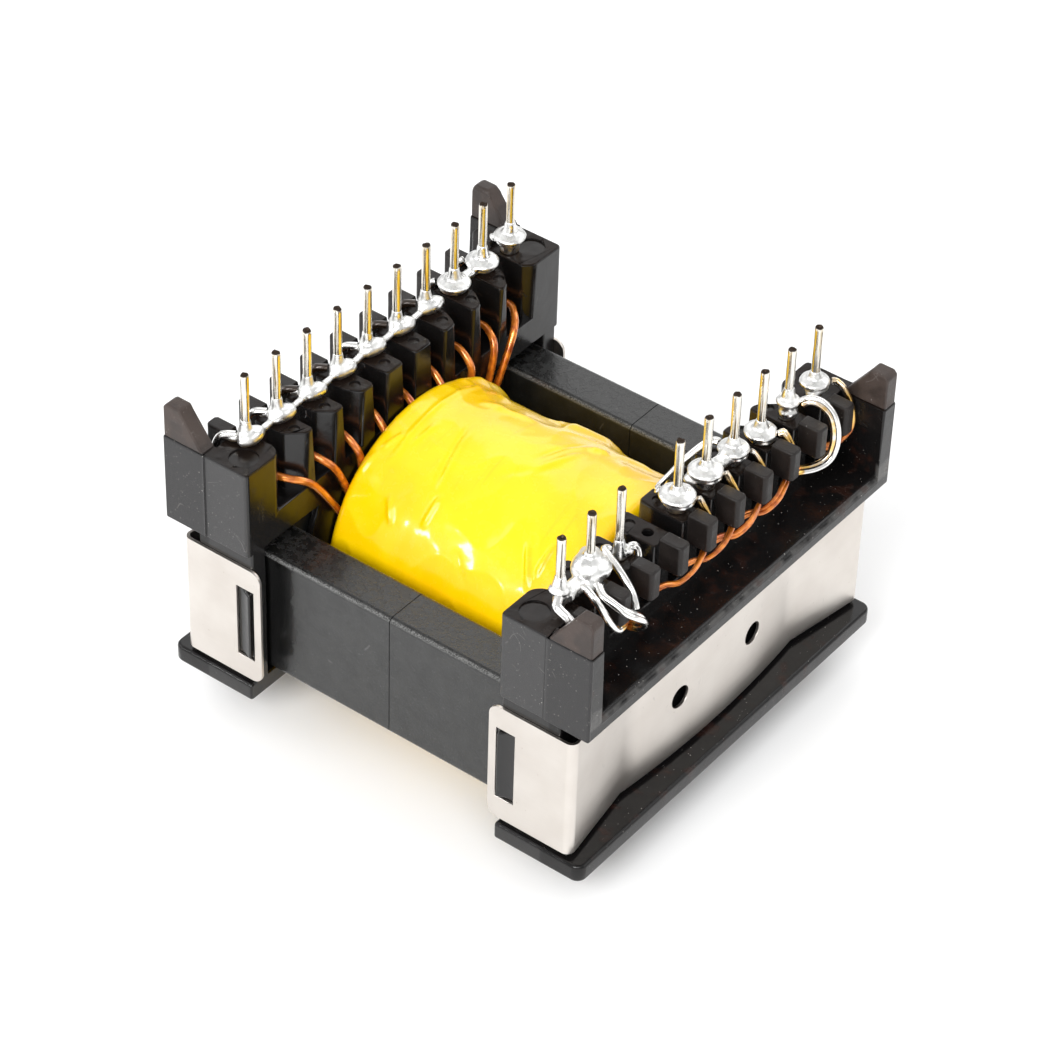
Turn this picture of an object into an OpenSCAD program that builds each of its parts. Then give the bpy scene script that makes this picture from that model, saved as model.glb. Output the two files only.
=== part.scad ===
// Ferrite power transformer with a horizontal coil former, standing pins up.
// X runs along the winding axis, Y along the pin rows, Z up.
// Z = 0 is the flat underside of the two coil flanges.

/* [Core] */
// Overall width across the two outer legs
core_w = 48.7; // [46:0.1:52]
// Thickness of the legs and the yoke
core_t = 16.4; // [14:0.1:18]
// Thickness of the yoke behind the window
yoke_t = 6.6; // [6:0.1:8]
// Width of the window between the outer legs
window_w = 37; // [36:0.1:39]
// Gap between a flange and the yoke behind it
window_clear = 0.2; // [0.1:0.05:0.5]
// Diameter of the round centre post
post_d = 16.4; // [14:0.1:17]
// Rounding of the long edges
core_edge_r = 0.7; // [0.3:0.1:1.2]
// Glue line between the two core halves
core_gap = 0.1; // [0.05:0.05:0.5]

/* [Coil former] */
// Clearance around the core inside the former
core_clear = 0.2; // [0.1:0.05:0.4]
// Wall of the tube around the centre post
tube_wall = 1.25; // [0.8:0.05:1.6]
// Distance between the inner faces of the two flanges
winding_l = 34; // [33:0.1:35]
// Thickness of a flange
flange_t = 0.9; // [0.6:0.1:1]
// Clearance between a flange and the window of the core
flange_clear = 0.4; // [0.2:0.1:1]
// Distance from the winding axis to the flat underside
flange_drop = 16.2; // [15.9:0.1:17]
// Length of a lip under the core, measured from the flange face
lip_l = 11.5; // [9:0.1:12]
// Thickness of a lip
lip_t = 2.25; // [1.5:0.05:3]
// Gap between a lip and the core
lip_gap = 0.65; // [0.1:0.05:1]
// Rounding of the outer corners of a lip
lip_r = 1.2; // [0.5:0.1:4]
// Thickness of the side walls outside the core legs
wall_t = 2.25; // [1.5:0.05:3]
// Gap between the core and the underside of a pin rail
rail_gap = 1.1; // [0.3:0.1:2]
// Depth of a rail along X, from its inner face to the outer rim
rail_l = 11.75; // [11:0.05:13]
// Length of a rail's end faces beyond the side walls
end_over = 0.75; // [0.6:0.05:1.5]
// Thickness of the shelf outside the pin blocks
shelf_t = 2; // [1.5:0.1:3]
// Rounding of the outer rim of the shelf
rim_r = 0.8; // [0.3:0.1:1.2]
// Height of the slot floors above the underside of the rail
slot_floor = 3.8; // [3:0.1:5]
// Height of the pin blocks above the underside of the rail
block_h = 11.3; // [10.5:0.1:12.5]
// Depth of the pin blocks along X
block_l = 6; // [5.5:0.1:6.5]
// Width of a pin block along Y
block_w = 3.1; // [2.6:0.1:3.4]
// Largest fan cut on the inner end of a pin block
fan_cut = 1.9; // [0.5:0.1:2]
// Reach of a wire peg past its pin block
peg_l = 3; // [2.5:0.1:3.2]
// Width of a wire peg
peg_w = 1.8; // [1.4:0.1:2.2]
// Height of a wire peg
peg_h = 3.85; // [3:0.05:4.5]
// Rise of a wire peg above its pin block
peg_rise = 0.75; // [0.3:0.05:1]
// Thickness of the ears that carry the board
ear_t = 2.25; // [1.5:0.05:2.6]
// Rise of the ears above the pin blocks
ear_h = 4.35; // [3.5:0.05:6]
// Width of an ear at its foot
ear_foot = 5.5; // [4.5:0.1:6]
// Width of an ear at its top
ear_top = 2.3; // [1:0.1:2.8]
// Diameter of the round mould marks on the end blocks
mark_d = 3.3; // [2:0.1:4]
// Depth of the mould marks
mark_h = 0.2; // [0.05:0.05:0.5]

/* [Pins] */
// Distance between neighbouring pins
pin_pitch = 5.08; // [5:0.02:5.2]
// Distance from the inner face of a rail to its pins
pin_inset = 4; // [3.8:0.05:4.2]
// Diameter of a pin
pin_d = 1; // [0.8:0.05:1.1]
// Length of a pin above its block
pin_out = 9.35; // [8:0.05:11]
// Depth of a pin in its block
pin_in = 7; // [4:0.1:8]
// Clearance between a pin and its hole
pin_clear = 0.02; // [0.01:0.01:0.05]
// Narrowing of a pin's radius from the board down to its pressed-in end
pin_taper = 0.04; // [0.02:0.01:0.1]

/* [Clips] */
// Thickness of the spring sheet
clip_t = 0.4; // [0.3:0.05:0.6]
// Height of a clip
clip_h = 15.7; // [12:0.1:16]
// Reach of the clip arms past the flange
clip_reach = 1.3; // [1.1:0.05:1.6]
// Bend radius on the outside of the corners
clip_bend_r = 1; // [0.8:0.1:1.4]
// Stand-off of the clip corners behind the core
clip_bow = 1.6; // [0.9:0.1:1.8]
// Stand-off of the middle of a clip behind the core
clip_arch = 0.9; // [0.5:0.1:1.3]
// Distance from the middle to the crease that presses on the core
crease_y = 16; // [12:0.5:20]
// Length of the slot in each arm along X
clip_slot_l = 2.45; // [2:0.05:3]
// Height of the slot in each arm
clip_slot_h = 9.8; // [8:0.1:11]
// Width of the strip between the slot and the end of the arm
clip_strip = 1; // [0.8:0.1:1.5]
// Diameter of the two holes in the back
clip_hole_d = 2.8; // [1.5:0.1:4]
// Distance between the two holes in the back
clip_hole_gap = 13.4; // [8:0.1:20]

/* [Windings] */
// Thickness of the inner primary layer
inner_primary_t = 1.8; // [1:0.05:1.9]
// Thickness of the secondary layer
secondary_t = 1.6; // [1:0.05:1.7]
// Thickness of the outer primary layer
outer_primary_t = 1.2; // [0.8:0.05:1.3]
// Thickness of the insulation between two layers
layer_tape_t = 0.4; // [0.2:0.05:0.45]
// Thickness of the outer tape wrap
tape_t = 0.4; // [0.2:0.05:0.6]
// Distance from the edge of the outer tape wrap to the flange
tape_margin = 1.5; // [1.4:0.05:3]
// Swelling of the outer tape where the near lead-outs pass below it
tape_bulge = 1.5; // [0.5:0.1:1.9]
// Clearance between neighbouring layers
layer_clear = 0.05; // [0.02:0.01:0.08]
// Diameter of a lead-out of the left row
lead_d = 0.95; // [0.6:0.05:1]
// Diameter of a lead-out of the right row
strand_d = 0.9; // [0.6:0.05:0.95]
// Diameter of the thick tinned loops
loop_d = 1.2; // [1:0.05:1.25]

/* [Hidden] */
$fn = 48;

// Small overlap that makes joined volumes one solid
weld = 0.02;
// Length by which a cut runs past the faces it goes through
cut_over = 1;
// Number of pins in a full row
row_n = 10;
// Heights of the core
axis_z = flange_drop;
core_z0 = axis_z - core_t / 2;
core_z1 = axis_z + core_t / 2;
leg_w = (core_w - window_w) / 2;
// Tube and flanges
tube_in_r = post_d / 2 + core_clear;
tube_r = tube_in_r + tube_wall;
flange_x = winding_l / 2;
flange_r = window_w / 2 - flange_clear;
// Lengths of the core window and of one core half
window_d = flange_x + flange_t + window_clear;
core_half = window_d + yoke_t;
// Lips and side walls
lip_z1 = core_z0 - lip_gap;
lip_z0 = lip_z1 - lip_t;
wall_y0 = core_w / 2 + core_clear;
wall_y1 = wall_y0 + wall_t;
end_y = wall_y1 + end_over;
// Rails
rail_z = core_z1 + rail_gap;
slot_z = rail_z + slot_floor;
block_z = rail_z + block_h;
rim_x = flange_x + rail_l;
block_x = flange_x + block_l;
peg_z1 = block_z + peg_rise;
peg_z0 = peg_z1 - peg_h;
// Length along X of the fan cuts, the least cut, and the bevel on the peg ends
fan_l = 2.1;
fan_least = 0.2;
peg_bevel = 0.35;
// Bevel on the inner corner of an end block
end_bevel = 1.1;
// Ears: inset that leaves a crease at their foot, and bevels of the top
ear_step = 0.1;
ear_bevel = 0.45;
ear_slant = 0.7;
// Mould marks: on the ordinary blocks, and the place of the large ones
small_mark_d = 1.3;
small_mark_x = 1.6;
mark_x = 2.5;
mark_y = 2.6;
// Pins: a tapered shank up to the board on the ears, and a straight free end above it
pin_x = flange_x + pin_inset;
pin_z0 = block_z - pin_in;
pin_tip = 0.15;
// Clips
clip_drop = 0.05;
clip_z0 = core_z0 - clip_drop;
clip_mid_z = clip_z0 + clip_h / 2;
clip_seat = 0.02;
clip_in_x = core_half + clip_seat;
clip_out_x = clip_in_x + clip_t + clip_bow;
clip_end_x = flange_x - clip_reach;
clip_slot_x = clip_end_x + clip_strip;
clip_corner_r = 1.4;
// Lug that snaps into the slot of a clip arm, with its play
lug_play = 0.3;
lug_rise = 0.7;
lug_x0 = max(flange_x, clip_slot_x + lug_play);
lug_x1 = clip_slot_x + clip_slot_l - lug_play;
lug_h = clip_slot_h - 2 * lug_play;
// Radii of the winding layers, from the tube outwards
r1 = tube_r + layer_clear;
r2 = r1 + inner_primary_t;
r3 = r2 + layer_clear;
r4 = r3 + layer_tape_t;
r5 = r4 + layer_clear;
r6 = r5 + secondary_t;
r7 = r6 + layer_clear;
r8 = r7 + layer_tape_t;
r9 = r8 + layer_clear;
r10 = r9 + outer_primary_t;
r11 = r10 + layer_clear;
r12 = r11 + tape_t;
// Width of the outer tape wrap, and margin of the inner windings to the flanges
tape_w = winding_l - 2 * tape_margin;
wind_margin = 0.9;
// Rounding of the tape where it folds down over the ends of the outer winding
shoulder_r = 1.2;
// Direction of the swelling seen along +X, from +Y towards +Z
bulge_angle = 138;

// Place of a pin row position along Y, counted from 1 at the near end
function pin_y(i) = (i - 1 - (row_n - 1) / 2) * pin_pitch;
// Middle of the slot on the far side of position i
function slot_y(i) = pin_y(i) + pin_pitch / 2;

// Sweep of a round wire along a smooth curve through its route points
wire_sides = 8;
wire_steps = 3;
function unit(v) = v / norm(v);
function curve(a, b, c, d, t) =
    0.5 * (2 * b + (c - a) * t + (2 * a - 5 * b + 4 * c - d) * t * t
    + (3 * b - a - 3 * c + d) * t * t * t);
function smooth_path(p) = [
    for (i = [0 : len(p) - 2])
        for (k = [0 : i == len(p) - 2 ? wire_steps : wire_steps - 1])
            curve(p[max(i - 1, 0)], p[i], p[i + 1], p[min(i + 2, len(p) - 1)], k / wire_steps)
];
function heading(q, i) = unit(q[min(i + 1, len(q) - 1)] - q[max(i - 1, 0)]);
function carry(q, i, n) =
    let (t = heading(q, i), m = unit(n - (n * t) * t))
    i == len(q) - 1 ? [m] : concat([m], carry(q, i + 1, m));
function ring(c, t, n, r) = [
    for (k = [0 : wire_sides - 1])
        c + r * (cos(360 * k / wire_sides) * n + sin(360 * k / wire_sides) * cross(t, n))
];
module wire(route, d) {
    q = smooth_path(route);
    n = carry(q, 0, [0.31, 0.47, 0.83]);
    s = wire_sides;
    e = len(q) - 1;
    points = [for (i = [0 : e]) each ring(q[i], heading(q, i), n[i], d / 2)];
    sides = [
        for (i = [0 : e - 1])
            for (k = [0 : s - 1])
                [i * s + k, (i + 1) * s + k, (i + 1) * s + (k + 1) % s, i * s + (k + 1) % s]
    ];
    first = [for (k = [0 : s - 1]) k];
    last = [for (k = [0 : s - 1]) e * s + s - 1 - k];
    polyhedron(points, concat(sides, [first, last]), convexity = 8);
}

// Core half on the +X side: two legs, the yoke and the round post
module rounded_bar(w, h, r) {
    union() {
        square([w - 2 * r, h], center = true);
        square([w, h - 2 * r], center = true);
        for (sx = [-1, 1])
            for (sy = [-1, 1])
                translate([sx * (w / 2 - r), sy * (h / 2 - r)])
                    circle(r);
    }
}
module along_x(x0, x1) {
    translate([x0, 0, axis_z])
        rotate([90, 0, 90])
            linear_extrude(x1 - x0)
                children();
}
module core_half() {
    for (s = [-1, 1])
        along_x(core_gap / 2, core_half)
            translate([s * (core_w - leg_w) / 2, 0])
                rounded_bar(leg_w, core_t, core_edge_r);
    along_x(window_d, core_half)
        rounded_bar(core_w, core_t, core_edge_r);
    along_x(core_gap / 2, window_d + weld)
        circle(post_d / 2);
}
module core_half_left() {
    color("#29282b")
        mirror([1, 0, 0])
            core_half();
}
module core_half_right() {
    color("#29282b")
        core_half();
}

// Coil former: one moulding with tube, flanges, lips, side walls and pin rails
module flange_plan() {
    difference() {
        intersection() {
            circle(flange_r);
            translate([-flange_r, -flange_drop])
                square([2 * flange_r, flange_drop + slot_z - axis_z]);
        }
        circle(tube_in_r);
    }
}
module lip() {
    length = lip_l - lip_r;
    translate([flange_x, 0, lip_z0])
        linear_extrude(lip_t)
            union() {
                translate([0, -end_y])
                    square([length, 2 * end_y]);
                translate([0, lip_r - end_y])
                    square([lip_l, 2 * (end_y - lip_r)]);
                for (s = [-1, 1])
                    translate([length, s * (end_y - lip_r)])
                        circle(lip_r);
            }
}
module side_walls() {
    depth = core_half - flange_x;
    for (s = [0, 1])
        mirror([0, s, 0]) {
            translate([flange_x, wall_y0, lip_z1 - weld])
                cube([depth, wall_t, rail_z - lip_z1 + 2 * weld]);
            translate([0, 0, clip_mid_z - lug_h / 2])
                linear_extrude(lug_h)
                    polygon([
                        [lug_x0, wall_y1 - weld],
                        [lug_x1, wall_y1 - weld],
                        [lug_x0 + lug_play, wall_y1 + lug_rise],
                        [lug_x0, wall_y1 + lug_rise]
                    ]);
        }
}
module shelf() {
    side_y = end_y - ear_step;
    translate([flange_x, side_y, rail_z])
        rotate([90, 0, 0])
            linear_extrude(2 * side_y)
                union() {
                    square([rail_l - rim_r, shelf_t]);
                    square([rail_l, shelf_t - rim_r]);
                    translate([rail_l - rim_r, shelf_t - rim_r])
                        circle(rim_r);
                }
    translate([flange_x, -side_y, rail_z])
        cube([block_l, 2 * side_y, slot_floor]);
}
module pin_block(i) {
    k = abs(i - (row_n + 1) / 2);
    cut = max(fan_least, fan_cut * sqrt((k - 0.5) / 3));
    w = block_w / 2;
    translate([flange_x, pin_y(i), slot_z - weld])
        mirror([0, i <= row_n / 2 ? 1 : 0, 0])
            linear_extrude(block_h - slot_floor + weld)
                polygon([[0, -w], [0, w - cut], [fan_l, w], [block_l, w], [block_l, -w]]);
}
module end_block(s) {
    y0 = pin_y(row_n) - block_w / 2;
    y1 = end_y - ear_step;
    mirror([0, s, 0]) {
        translate([flange_x, 0, slot_z - weld])
            linear_extrude(block_h - slot_floor + weld)
                polygon([
                    [end_bevel, y0], [block_l + weld, y0], [block_l + weld, y1],
                    [0, y1], [0, y0 + end_bevel]
                ]);
        translate([block_x, end_y - ear_t, rail_z])
            cube([rim_x - block_x, ear_t, block_h]);
    }
}
module ear(s) {
    mirror([0, s, 0])
        translate([rim_x - ear_step, end_y - ear_step, block_z])
            rotate([90, 0, 0])
                linear_extrude(ear_t - 2 * ear_step)
                    polygon([
                        [-ear_foot, -weld], [0, -weld], [0, ear_h - ear_bevel], [-ear_bevel, ear_h],
                        [-ear_top, ear_h], [-ear_top - ear_bevel, ear_h - ear_slant]
                    ]);
}
module peg(i) {
    w = peg_w / 2;
    translate([block_x - weld, pin_y(i), peg_z0])
        linear_extrude(peg_h)
            polygon([
                [0, -w], [peg_l - peg_bevel, -w], [peg_l, peg_bevel - w],
                [peg_l, w - peg_bevel], [peg_l - peg_bevel, w], [0, w]
            ]);
}
module rail_cuts() {
    for (i = [1 : row_n])
        translate([pin_x, pin_y(i), pin_z0])
            cylinder(r = pin_d / 2 + pin_clear, h = pin_in + cut_over);
    for (i = [2 : row_n - 1])
        translate([flange_x + small_mark_x, pin_y(i), block_z - mark_h])
            cylinder(d = small_mark_d, h = cut_over);
    for (s = [-1, 1])
        translate([flange_x + mark_x, s * (end_y - mark_y), block_z - mark_h])
            cylinder(d = mark_d, h = cut_over);
}
module former_end() {
    along_x(flange_x, flange_x + flange_t)
        flange_plan();
    lip();
    side_walls();
    difference() {
        union() {
            shelf();
            for (i = [2 : row_n - 1])
                pin_block(i);
            for (i = [1 : row_n])
                peg(i);
            for (s = [0, 1]) {
                end_block(s);
                ear(s);
            }
        }
        rail_cuts();
    }
}
module coil_former() {
    color("#1c1b1e") {
        along_x(-flange_x - weld, flange_x + weld)
            difference() {
                circle(tube_r);
                circle(tube_in_r);
            }
        former_end();
        mirror([1, 0, 0])
            former_end();
    }
}

// Spring clip behind the core on the +X side
module clip_plan() {
    arc_r = (crease_y * crease_y + clip_arch * clip_arch) / (2 * clip_arch);
    bend_x = clip_out_x - clip_bend_r;
    bend_y = wall_y1 + clip_t - clip_bend_r;
    union() {
        intersection() {
            translate([clip_in_x + clip_t + clip_arch - arc_r, 0])
                difference() {
                    circle(arc_r, $fn = 96);
                    circle(arc_r - clip_t, $fn = 96);
                }
            translate([clip_in_x - cut_over, -crease_y])
                square([clip_t + clip_arch + 2 * cut_over, 2 * crease_y]);
        }
        for (s = [0, 1])
            mirror([0, s]) {
                polygon([
                    [clip_in_x, crease_y - weld], [clip_in_x + clip_t, crease_y - weld],
                    [clip_out_x, bend_y], [clip_out_x - clip_t, bend_y]
                ]);
                translate([bend_x, bend_y])
                    intersection() {
                        difference() {
                            circle(clip_bend_r);
                            circle(clip_bend_r - clip_t);
                        }
                        square(clip_bend_r + cut_over);
                    }
                translate([clip_end_x, wall_y1])
                    square([bend_x - clip_end_x + weld, clip_t]);
            }
    }
}
module clip_side() {
    length = clip_out_x - clip_end_x;
    union() {
        translate([clip_corner_r, 0])
            square([length, clip_h]);
        translate([0, clip_corner_r])
            square([length, clip_h - 2 * clip_corner_r]);
        for (z = [clip_corner_r, clip_h - clip_corner_r])
            translate([clip_corner_r, z])
                circle(clip_corner_r);
    }
}
module clip() {
    reach = wall_y1 + clip_t + cut_over;
    slot_z0 = clip_mid_z - clip_slot_h / 2;
    difference() {
        intersection() {
            translate([0, 0, clip_z0])
                linear_extrude(clip_h)
                    clip_plan();
            translate([clip_end_x, reach, clip_z0])
                rotate([90, 0, 0])
                    linear_extrude(2 * reach)
                        clip_side();
        }
        translate([clip_slot_x, -reach, slot_z0])
            cube([clip_slot_l, 2 * reach, clip_slot_h]);
        for (s = [-1, 1])
            translate([clip_in_x - cut_over, s * clip_hole_gap / 2, clip_mid_z])
                rotate([0, 90, 0])
                    cylinder(d = clip_hole_d, h = clip_t + clip_arch + 2 * cut_over);
    }
}
module clip_right() {
    color("#e2dfda")
        clip();
}
module clip_left() {
    color("#e2dfda")
        mirror([1, 0, 0])
            clip();
}

// Winding layers and tapes around the tube
module layer(ri, ro, length) {
    along_x(-length / 2, length / 2)
        difference() {
            circle(ro);
            circle(ri);
        }
}
module inner_primary_winding() {
    color("#b8692f")
        layer(r1, r2, winding_l - 2 * wind_margin);
}
module inner_insulation() {
    color("#e8c93a")
        layer(r3, r4, winding_l - wind_margin);
}
module secondary_winding() {
    color("#b8692f")
        layer(r5, r6, winding_l - 2 * wind_margin);
}
module outer_insulation() {
    color("#e8c93a")
        layer(r7, r8, winding_l - wind_margin);
}
// Half of the section of a drum with rounded rims, radius along x and length along y
module drum_plan(r, w, rim) {
    union() {
        translate([0, -w / 2])
            square([r - rim, w]);
        translate([0, rim - w / 2])
            square([r, w - 2 * rim]);
        for (s = [-1, 1])
            translate([r - rim, s * (w / 2 - rim)])
                circle(rim);
    }
}
module drum(r, w, rim) {
    translate([0, 0, axis_z])
        rotate([0, 90, 0])
            rotate_extrude()
                drum_plan(r, w, rim);
}
module outer_primary_winding() {
    color("#b8692f")
        difference() {
            drum(r10, tape_w - 2 * (tape_t + layer_clear), shoulder_r - tape_t);
            along_x(-tape_w, tape_w)
                circle(r9);
        }
}
module outer_tape() {
    swell = tape_bulge * [0, cos(bulge_angle), sin(bulge_angle)];
    color("#ffe600")
        difference() {
            union() {
                drum(r12, tape_w, shoulder_r);
                translate(swell)
                    drum(r12, tape_w, shoulder_r);
            }
            drum(r11, tape_w - 2 * tape_t, shoulder_r - tape_t);
            along_x(-tape_w, tape_w)
                circle(r9);
        }
}

// Pin at a row position; side is -1 for the left row, 1 for the right row
module pin(side, i) {
    color("#d9d6cd")
        translate([side * pin_x, pin_y(i), block_z])
            rotate_extrude()
                polygon([
                    [0, -pin_in], [pin_d / 2 - pin_taper, -pin_in], [pin_d / 2, ear_h],
                    [pin_d / 2, pin_out - pin_tip], [pin_d / 2 - pin_tip, pin_out], [0, pin_out]
                ]);
}

// Solder on the pins. A disc sits on wire wraps around its pin and ends in a cone.
// Each entry has the row position, radius, lift above the block and height of the disc.
left_discs = [[8, 2, 0.4, 2.9], [9, 2, 0.6, 3], [10, 1.95, 1.3, 2.8]];
near_discs = [[1, 1.2, 1.6, 2.6], [2, 2.15, 0.7, 3.5], [3, 1.1, 0.4, 2.2]];
middle_discs = [[5, 2.1, 1.1, 2.2], [6, 2, 1.3, 2.3], [7, 1.8, 1.1, 2.4]];
far_discs = [[8, 1.9, 0.3, 2.4], [9, 1.4, 1.5, 2.6], [10, 1.75, 1.1, 2.2]];
solder_clear = 0.02;
solder_r = pin_d / 2 + solder_clear;
// Inset of the wraps, heights of the rounded rim, and foot, waist and lip of the cone
wrap_inset = 0.3;
rim_h = 0.3;
edge_h = 0.9;
disc_h = 1.2;
cone_foot = 0.2;
cone_waist = 0.3;
cone_lip = 0.1;
// Gap between a solder bridge and the blocks below it
bridge_gap = 0.1;
function disc(list, i) = [for (d = list) if (d[0] == i) d][0];
module collar(side, d) {
    r = d[1];
    z = d[2];
    translate([side * pin_x, pin_y(d[0]), block_z])
        rotate_extrude()
            polygon([
                [0, 0], [r - wrap_inset, 0], [r - wrap_inset, z], [r, z + rim_h], [r, z + edge_h],
                [r - rim_h, z + disc_h], [(r + solder_r) / 2, z + disc_h + cone_foot],
                [solder_r + cone_waist, z + disc_h + cone_foot + 0.4 * (d[3] - disc_h)],
                [solder_r + cone_lip, z + d[3]], [0, z + d[3]]
            ]);
}
module bridge(side, a, b, r) {
    translate([side * pin_x, pin_y(a[0]), block_z + max(r + bridge_gap, min(a[2], b[2]))])
        rotate([-90, 0, 0])
            cylinder(r = r, h = pin_y(b[0]) - pin_y(a[0]));
}
module pin_holes(side, list) {
    for (d = list)
        translate([side * pin_x, pin_y(d[0]), block_z - cut_over])
            cylinder(r = solder_r, h = pin_out);
}
module discs(side, list) {
    for (d = list)
        collar(side, d);
}

// Bus of the left row: a tinned bar past the pins with a lump and a cone on each
lump_r = 1.3;
lump_z = block_z + 1.15;
lump_y = 0.1;
lump_cone = 1.4;
lump_cone_r = 0.9;
lump_cone_z = lump_z + 0.8;
bus_r = 0.75;
bus_z = block_z + 0.95;
bus_x = 0.3 - pin_x;
bus_last = 7;
bus_pins = [for (i = [1 : bus_last]) [i]];
module solder_left_bus() {
    color("#e4e4e2")
        difference() {
            union() {
                translate([bus_x, pin_y(1), bus_z])
                    rotate([-90, 0, 0])
                        cylinder(r = bus_r, h = pin_y(bus_last) - pin_y(1) + lump_r);
                for (i = [1 : bus_last]) {
                    translate([bus_x, pin_y(i) + lump_y, lump_z])
                        sphere(lump_r);
                    translate([-pin_x, pin_y(i), lump_cone_z])
                        cylinder(r1 = lump_cone_r, r2 = solder_r + cone_lip, h = lump_cone);
                }
            }
            translate([bus_x - pin_pitch / 2, pin_y(0), block_z - 2 * lump_r])
                cube([pin_pitch, row_n * pin_pitch, 2 * lump_r]);
            pin_holes(-1, bus_pins);
        }
}
module solder_left_end() {
    color("#e4e4e2")
        difference() {
            union() {
                discs(-1, left_discs);
                bridge(-1, left_discs[0], left_discs[1], 0.7);
            }
            pin_holes(-1, left_discs);
        }
}
module solder_right_near() {
    color("#e4e4e2")
        difference() {
            union() {
                discs(1, near_discs);
                bridge(1, near_discs[0], near_discs[1], 1);
            }
            pin_holes(1, near_discs);
        }
}
module solder_right_middle() {
    color("#e4e4e2")
        difference() {
            union() {
                discs(1, middle_discs);
                bridge(1, middle_discs[1], middle_discs[2], 1.1);
            }
            pin_holes(1, middle_discs);
        }
}
module solder_right_far() {
    color("#e4e4e2")
        difference() {
            discs(1, far_discs);
            pin_holes(1, far_discs);
        }
}

// Lead-outs. Every lead leaves the end of the winding, rises to a slot,
// crosses the rail, passes a peg and climbs to the solder of its pin.
touch = 0.1;
wire_gap = 0.1;
slot_run_z = slot_z + 2.2;
under_z = peg_z0 - 0.55;
// Start of a lead of diameter d beside the tape, and its way over the flange at height z
function off_winding(side, d, y0, ys, z) =
    let (
        x0 = tape_w / 2 + d / 2 + wire_gap,
        r0 = r8 + d / 2 + wire_gap,
        z0 = axis_z + sqrt(r0 * r0 - y0 * y0)
    )
    [
        [side * x0, y0, z0],
        [side * (x0 + 0.1), 0.4 * y0 + 0.6 * ys, max(z - 1.6, z0)],
        [side * (flange_x + 0.9), 0.08 * y0 + 0.92 * ys, max(z, z0 - 0.4)],
        [side * (flange_x + 2.6), ys, z + 0.1]
    ];
// Points where a wire coming from p meets a disc or a lump
function at_disc(side, d, p) =
    let (
        c = [side * pin_x, pin_y(d[0]), block_z + d[2] + (rim_h + edge_h) / 2],
        v = [p[0] - c[0], p[1] - c[1], 0]
    )
    c + (d[1] + touch) * unit(v);
function at_lump(i, p) =
    let (c = [bus_x, pin_y(i) + lump_y, lump_z])
    c + (lump_r + touch) * unit(p - c);

// Left row: slot i is on the far side of pin i, and the lead climbs the near side of peg i
left_start_y = [-12.9, -11.6, -9.5, -5.5, -1.1, 4.4, 9.5, 12.3, 13.2];
module lead_left(i) {
    ys = slot_y(i);
    yn = pin_y(i) - peg_w / 2 - lead_d / 2 - wire_gap;
    last = [-block_x - 0.2, yn + 0.2, block_z + 0.75];
    route = concat(
        off_winding(-1, lead_d, left_start_y[i - 1], ys, slot_run_z),
        [
            [-block_x - 0.1, ys, slot_run_z],
            [-block_x - 1, ys - 0.8, slot_run_z + 0.4],
            [-block_x - 1.4, pin_y(i) + 0.1, under_z],
            [-block_x - 1.4, pin_y(i) - 0.7, under_z - 0.05],
            [-block_x - 1.3, yn + 0.23, under_z + 0.2],
            [-block_x - 1.2, yn, under_z + 0.8],
            [-block_x - 1.1, yn, under_z + 1.7],
            [-block_x - 0.95, yn, block_z - 0.5],
            last,
            i <= bus_last ? at_lump(i, last) : at_disc(-1, disc(left_discs, i), last)
        ]
    );
    color("#c8742e")
        wire(route, lead_d);
}

// Right row: the lead of pin i leaves the slot two pins back, passes below the
// peg before and climbs the far side of its own peg
function under_pegs(i) = [
    [block_x, slot_y(i - 2), slot_run_z],
    [block_x + 1.3, pin_y(i - 1) - 1, under_z - 1.1],
    [block_x + 2.3, pin_y(i - 1) + 0.2, under_z - 1],
    [block_x + 2.6, pin_y(i - 1) + 2.2, under_z - 0.5],
    [block_x + 2.2, pin_y(i) - 1, under_z - 0.05],
    [block_x + 1.7, pin_y(i) + 0.3, under_z - 0.05]
];
module lead_right(i) {
    ys = slot_y(i - 2);
    yf = pin_y(i) + peg_w / 2 + strand_d / 2 + wire_gap;
    last = [block_x + 0.2, yf - 0.1, block_z + 1.1];
    route = concat(
        off_winding(1, strand_d, 0.64 * ys, ys, slot_run_z),
        under_pegs(i),
        [
            [block_x + 1.65, yf - 0.1, under_z + 0.15],
            [block_x + 1.6, yf + 0.05, under_z + 1.1],
            [block_x + 1.2, yf, peg_z1 - 1.2],
            last,
            at_disc(1, i < 8 ? disc(middle_discs, i) : disc(far_discs, i), last)
        ]
    );
    color("#c8742e")
        wire(route, strand_d);
}

// Routes of the loops and strands of the right row, as seen
loop_11 = [
    [22.8, -20.4, 32.4], [24.2, -21.1, 32.4], [25, -22.3, 32.5], [25.2, -23.4, 32.5],
    [25.2, -24.2, 32.9], [25.2, -24.5, 33.8], [25.1, -24.6, 35.2], [24.5, -24.6, 36.8],
    [23.4, -24.8, 37.9], [22.2, -24.8, 38.6]
];
route_11_12 = [
    [23, -15.3, 33], [24.4, -15.9, 32.9], [25.1, -17, 32.7], [25.2, -18.3, 32.8], [25.1, -19.4, 34.4],
    [24.6, -20.2, 36.4], [23.8, -20.5, 37.6], [22.8, -20.4, 38.2], [22.1, -20.3, 38.4]
];
loop_12 = [
    [23.2, -15.2, 31], [25.2, -15, 31.2], [26.6, -15.6, 32.6], [27.3, -16.8, 34.4], [27.3, -18.1, 35.7],
    [26.6, -19, 36.5], [25.4, -19.4, 37.2], [24, -19.5, 37.7]
];
loop_13 = [
    [20, -10.2, 33.4], [21.3, -10.3, 34.2], [22, -10.6, 35.8], [22, -10.7, 37], [21.9, -11.2, 37.8]
];
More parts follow.
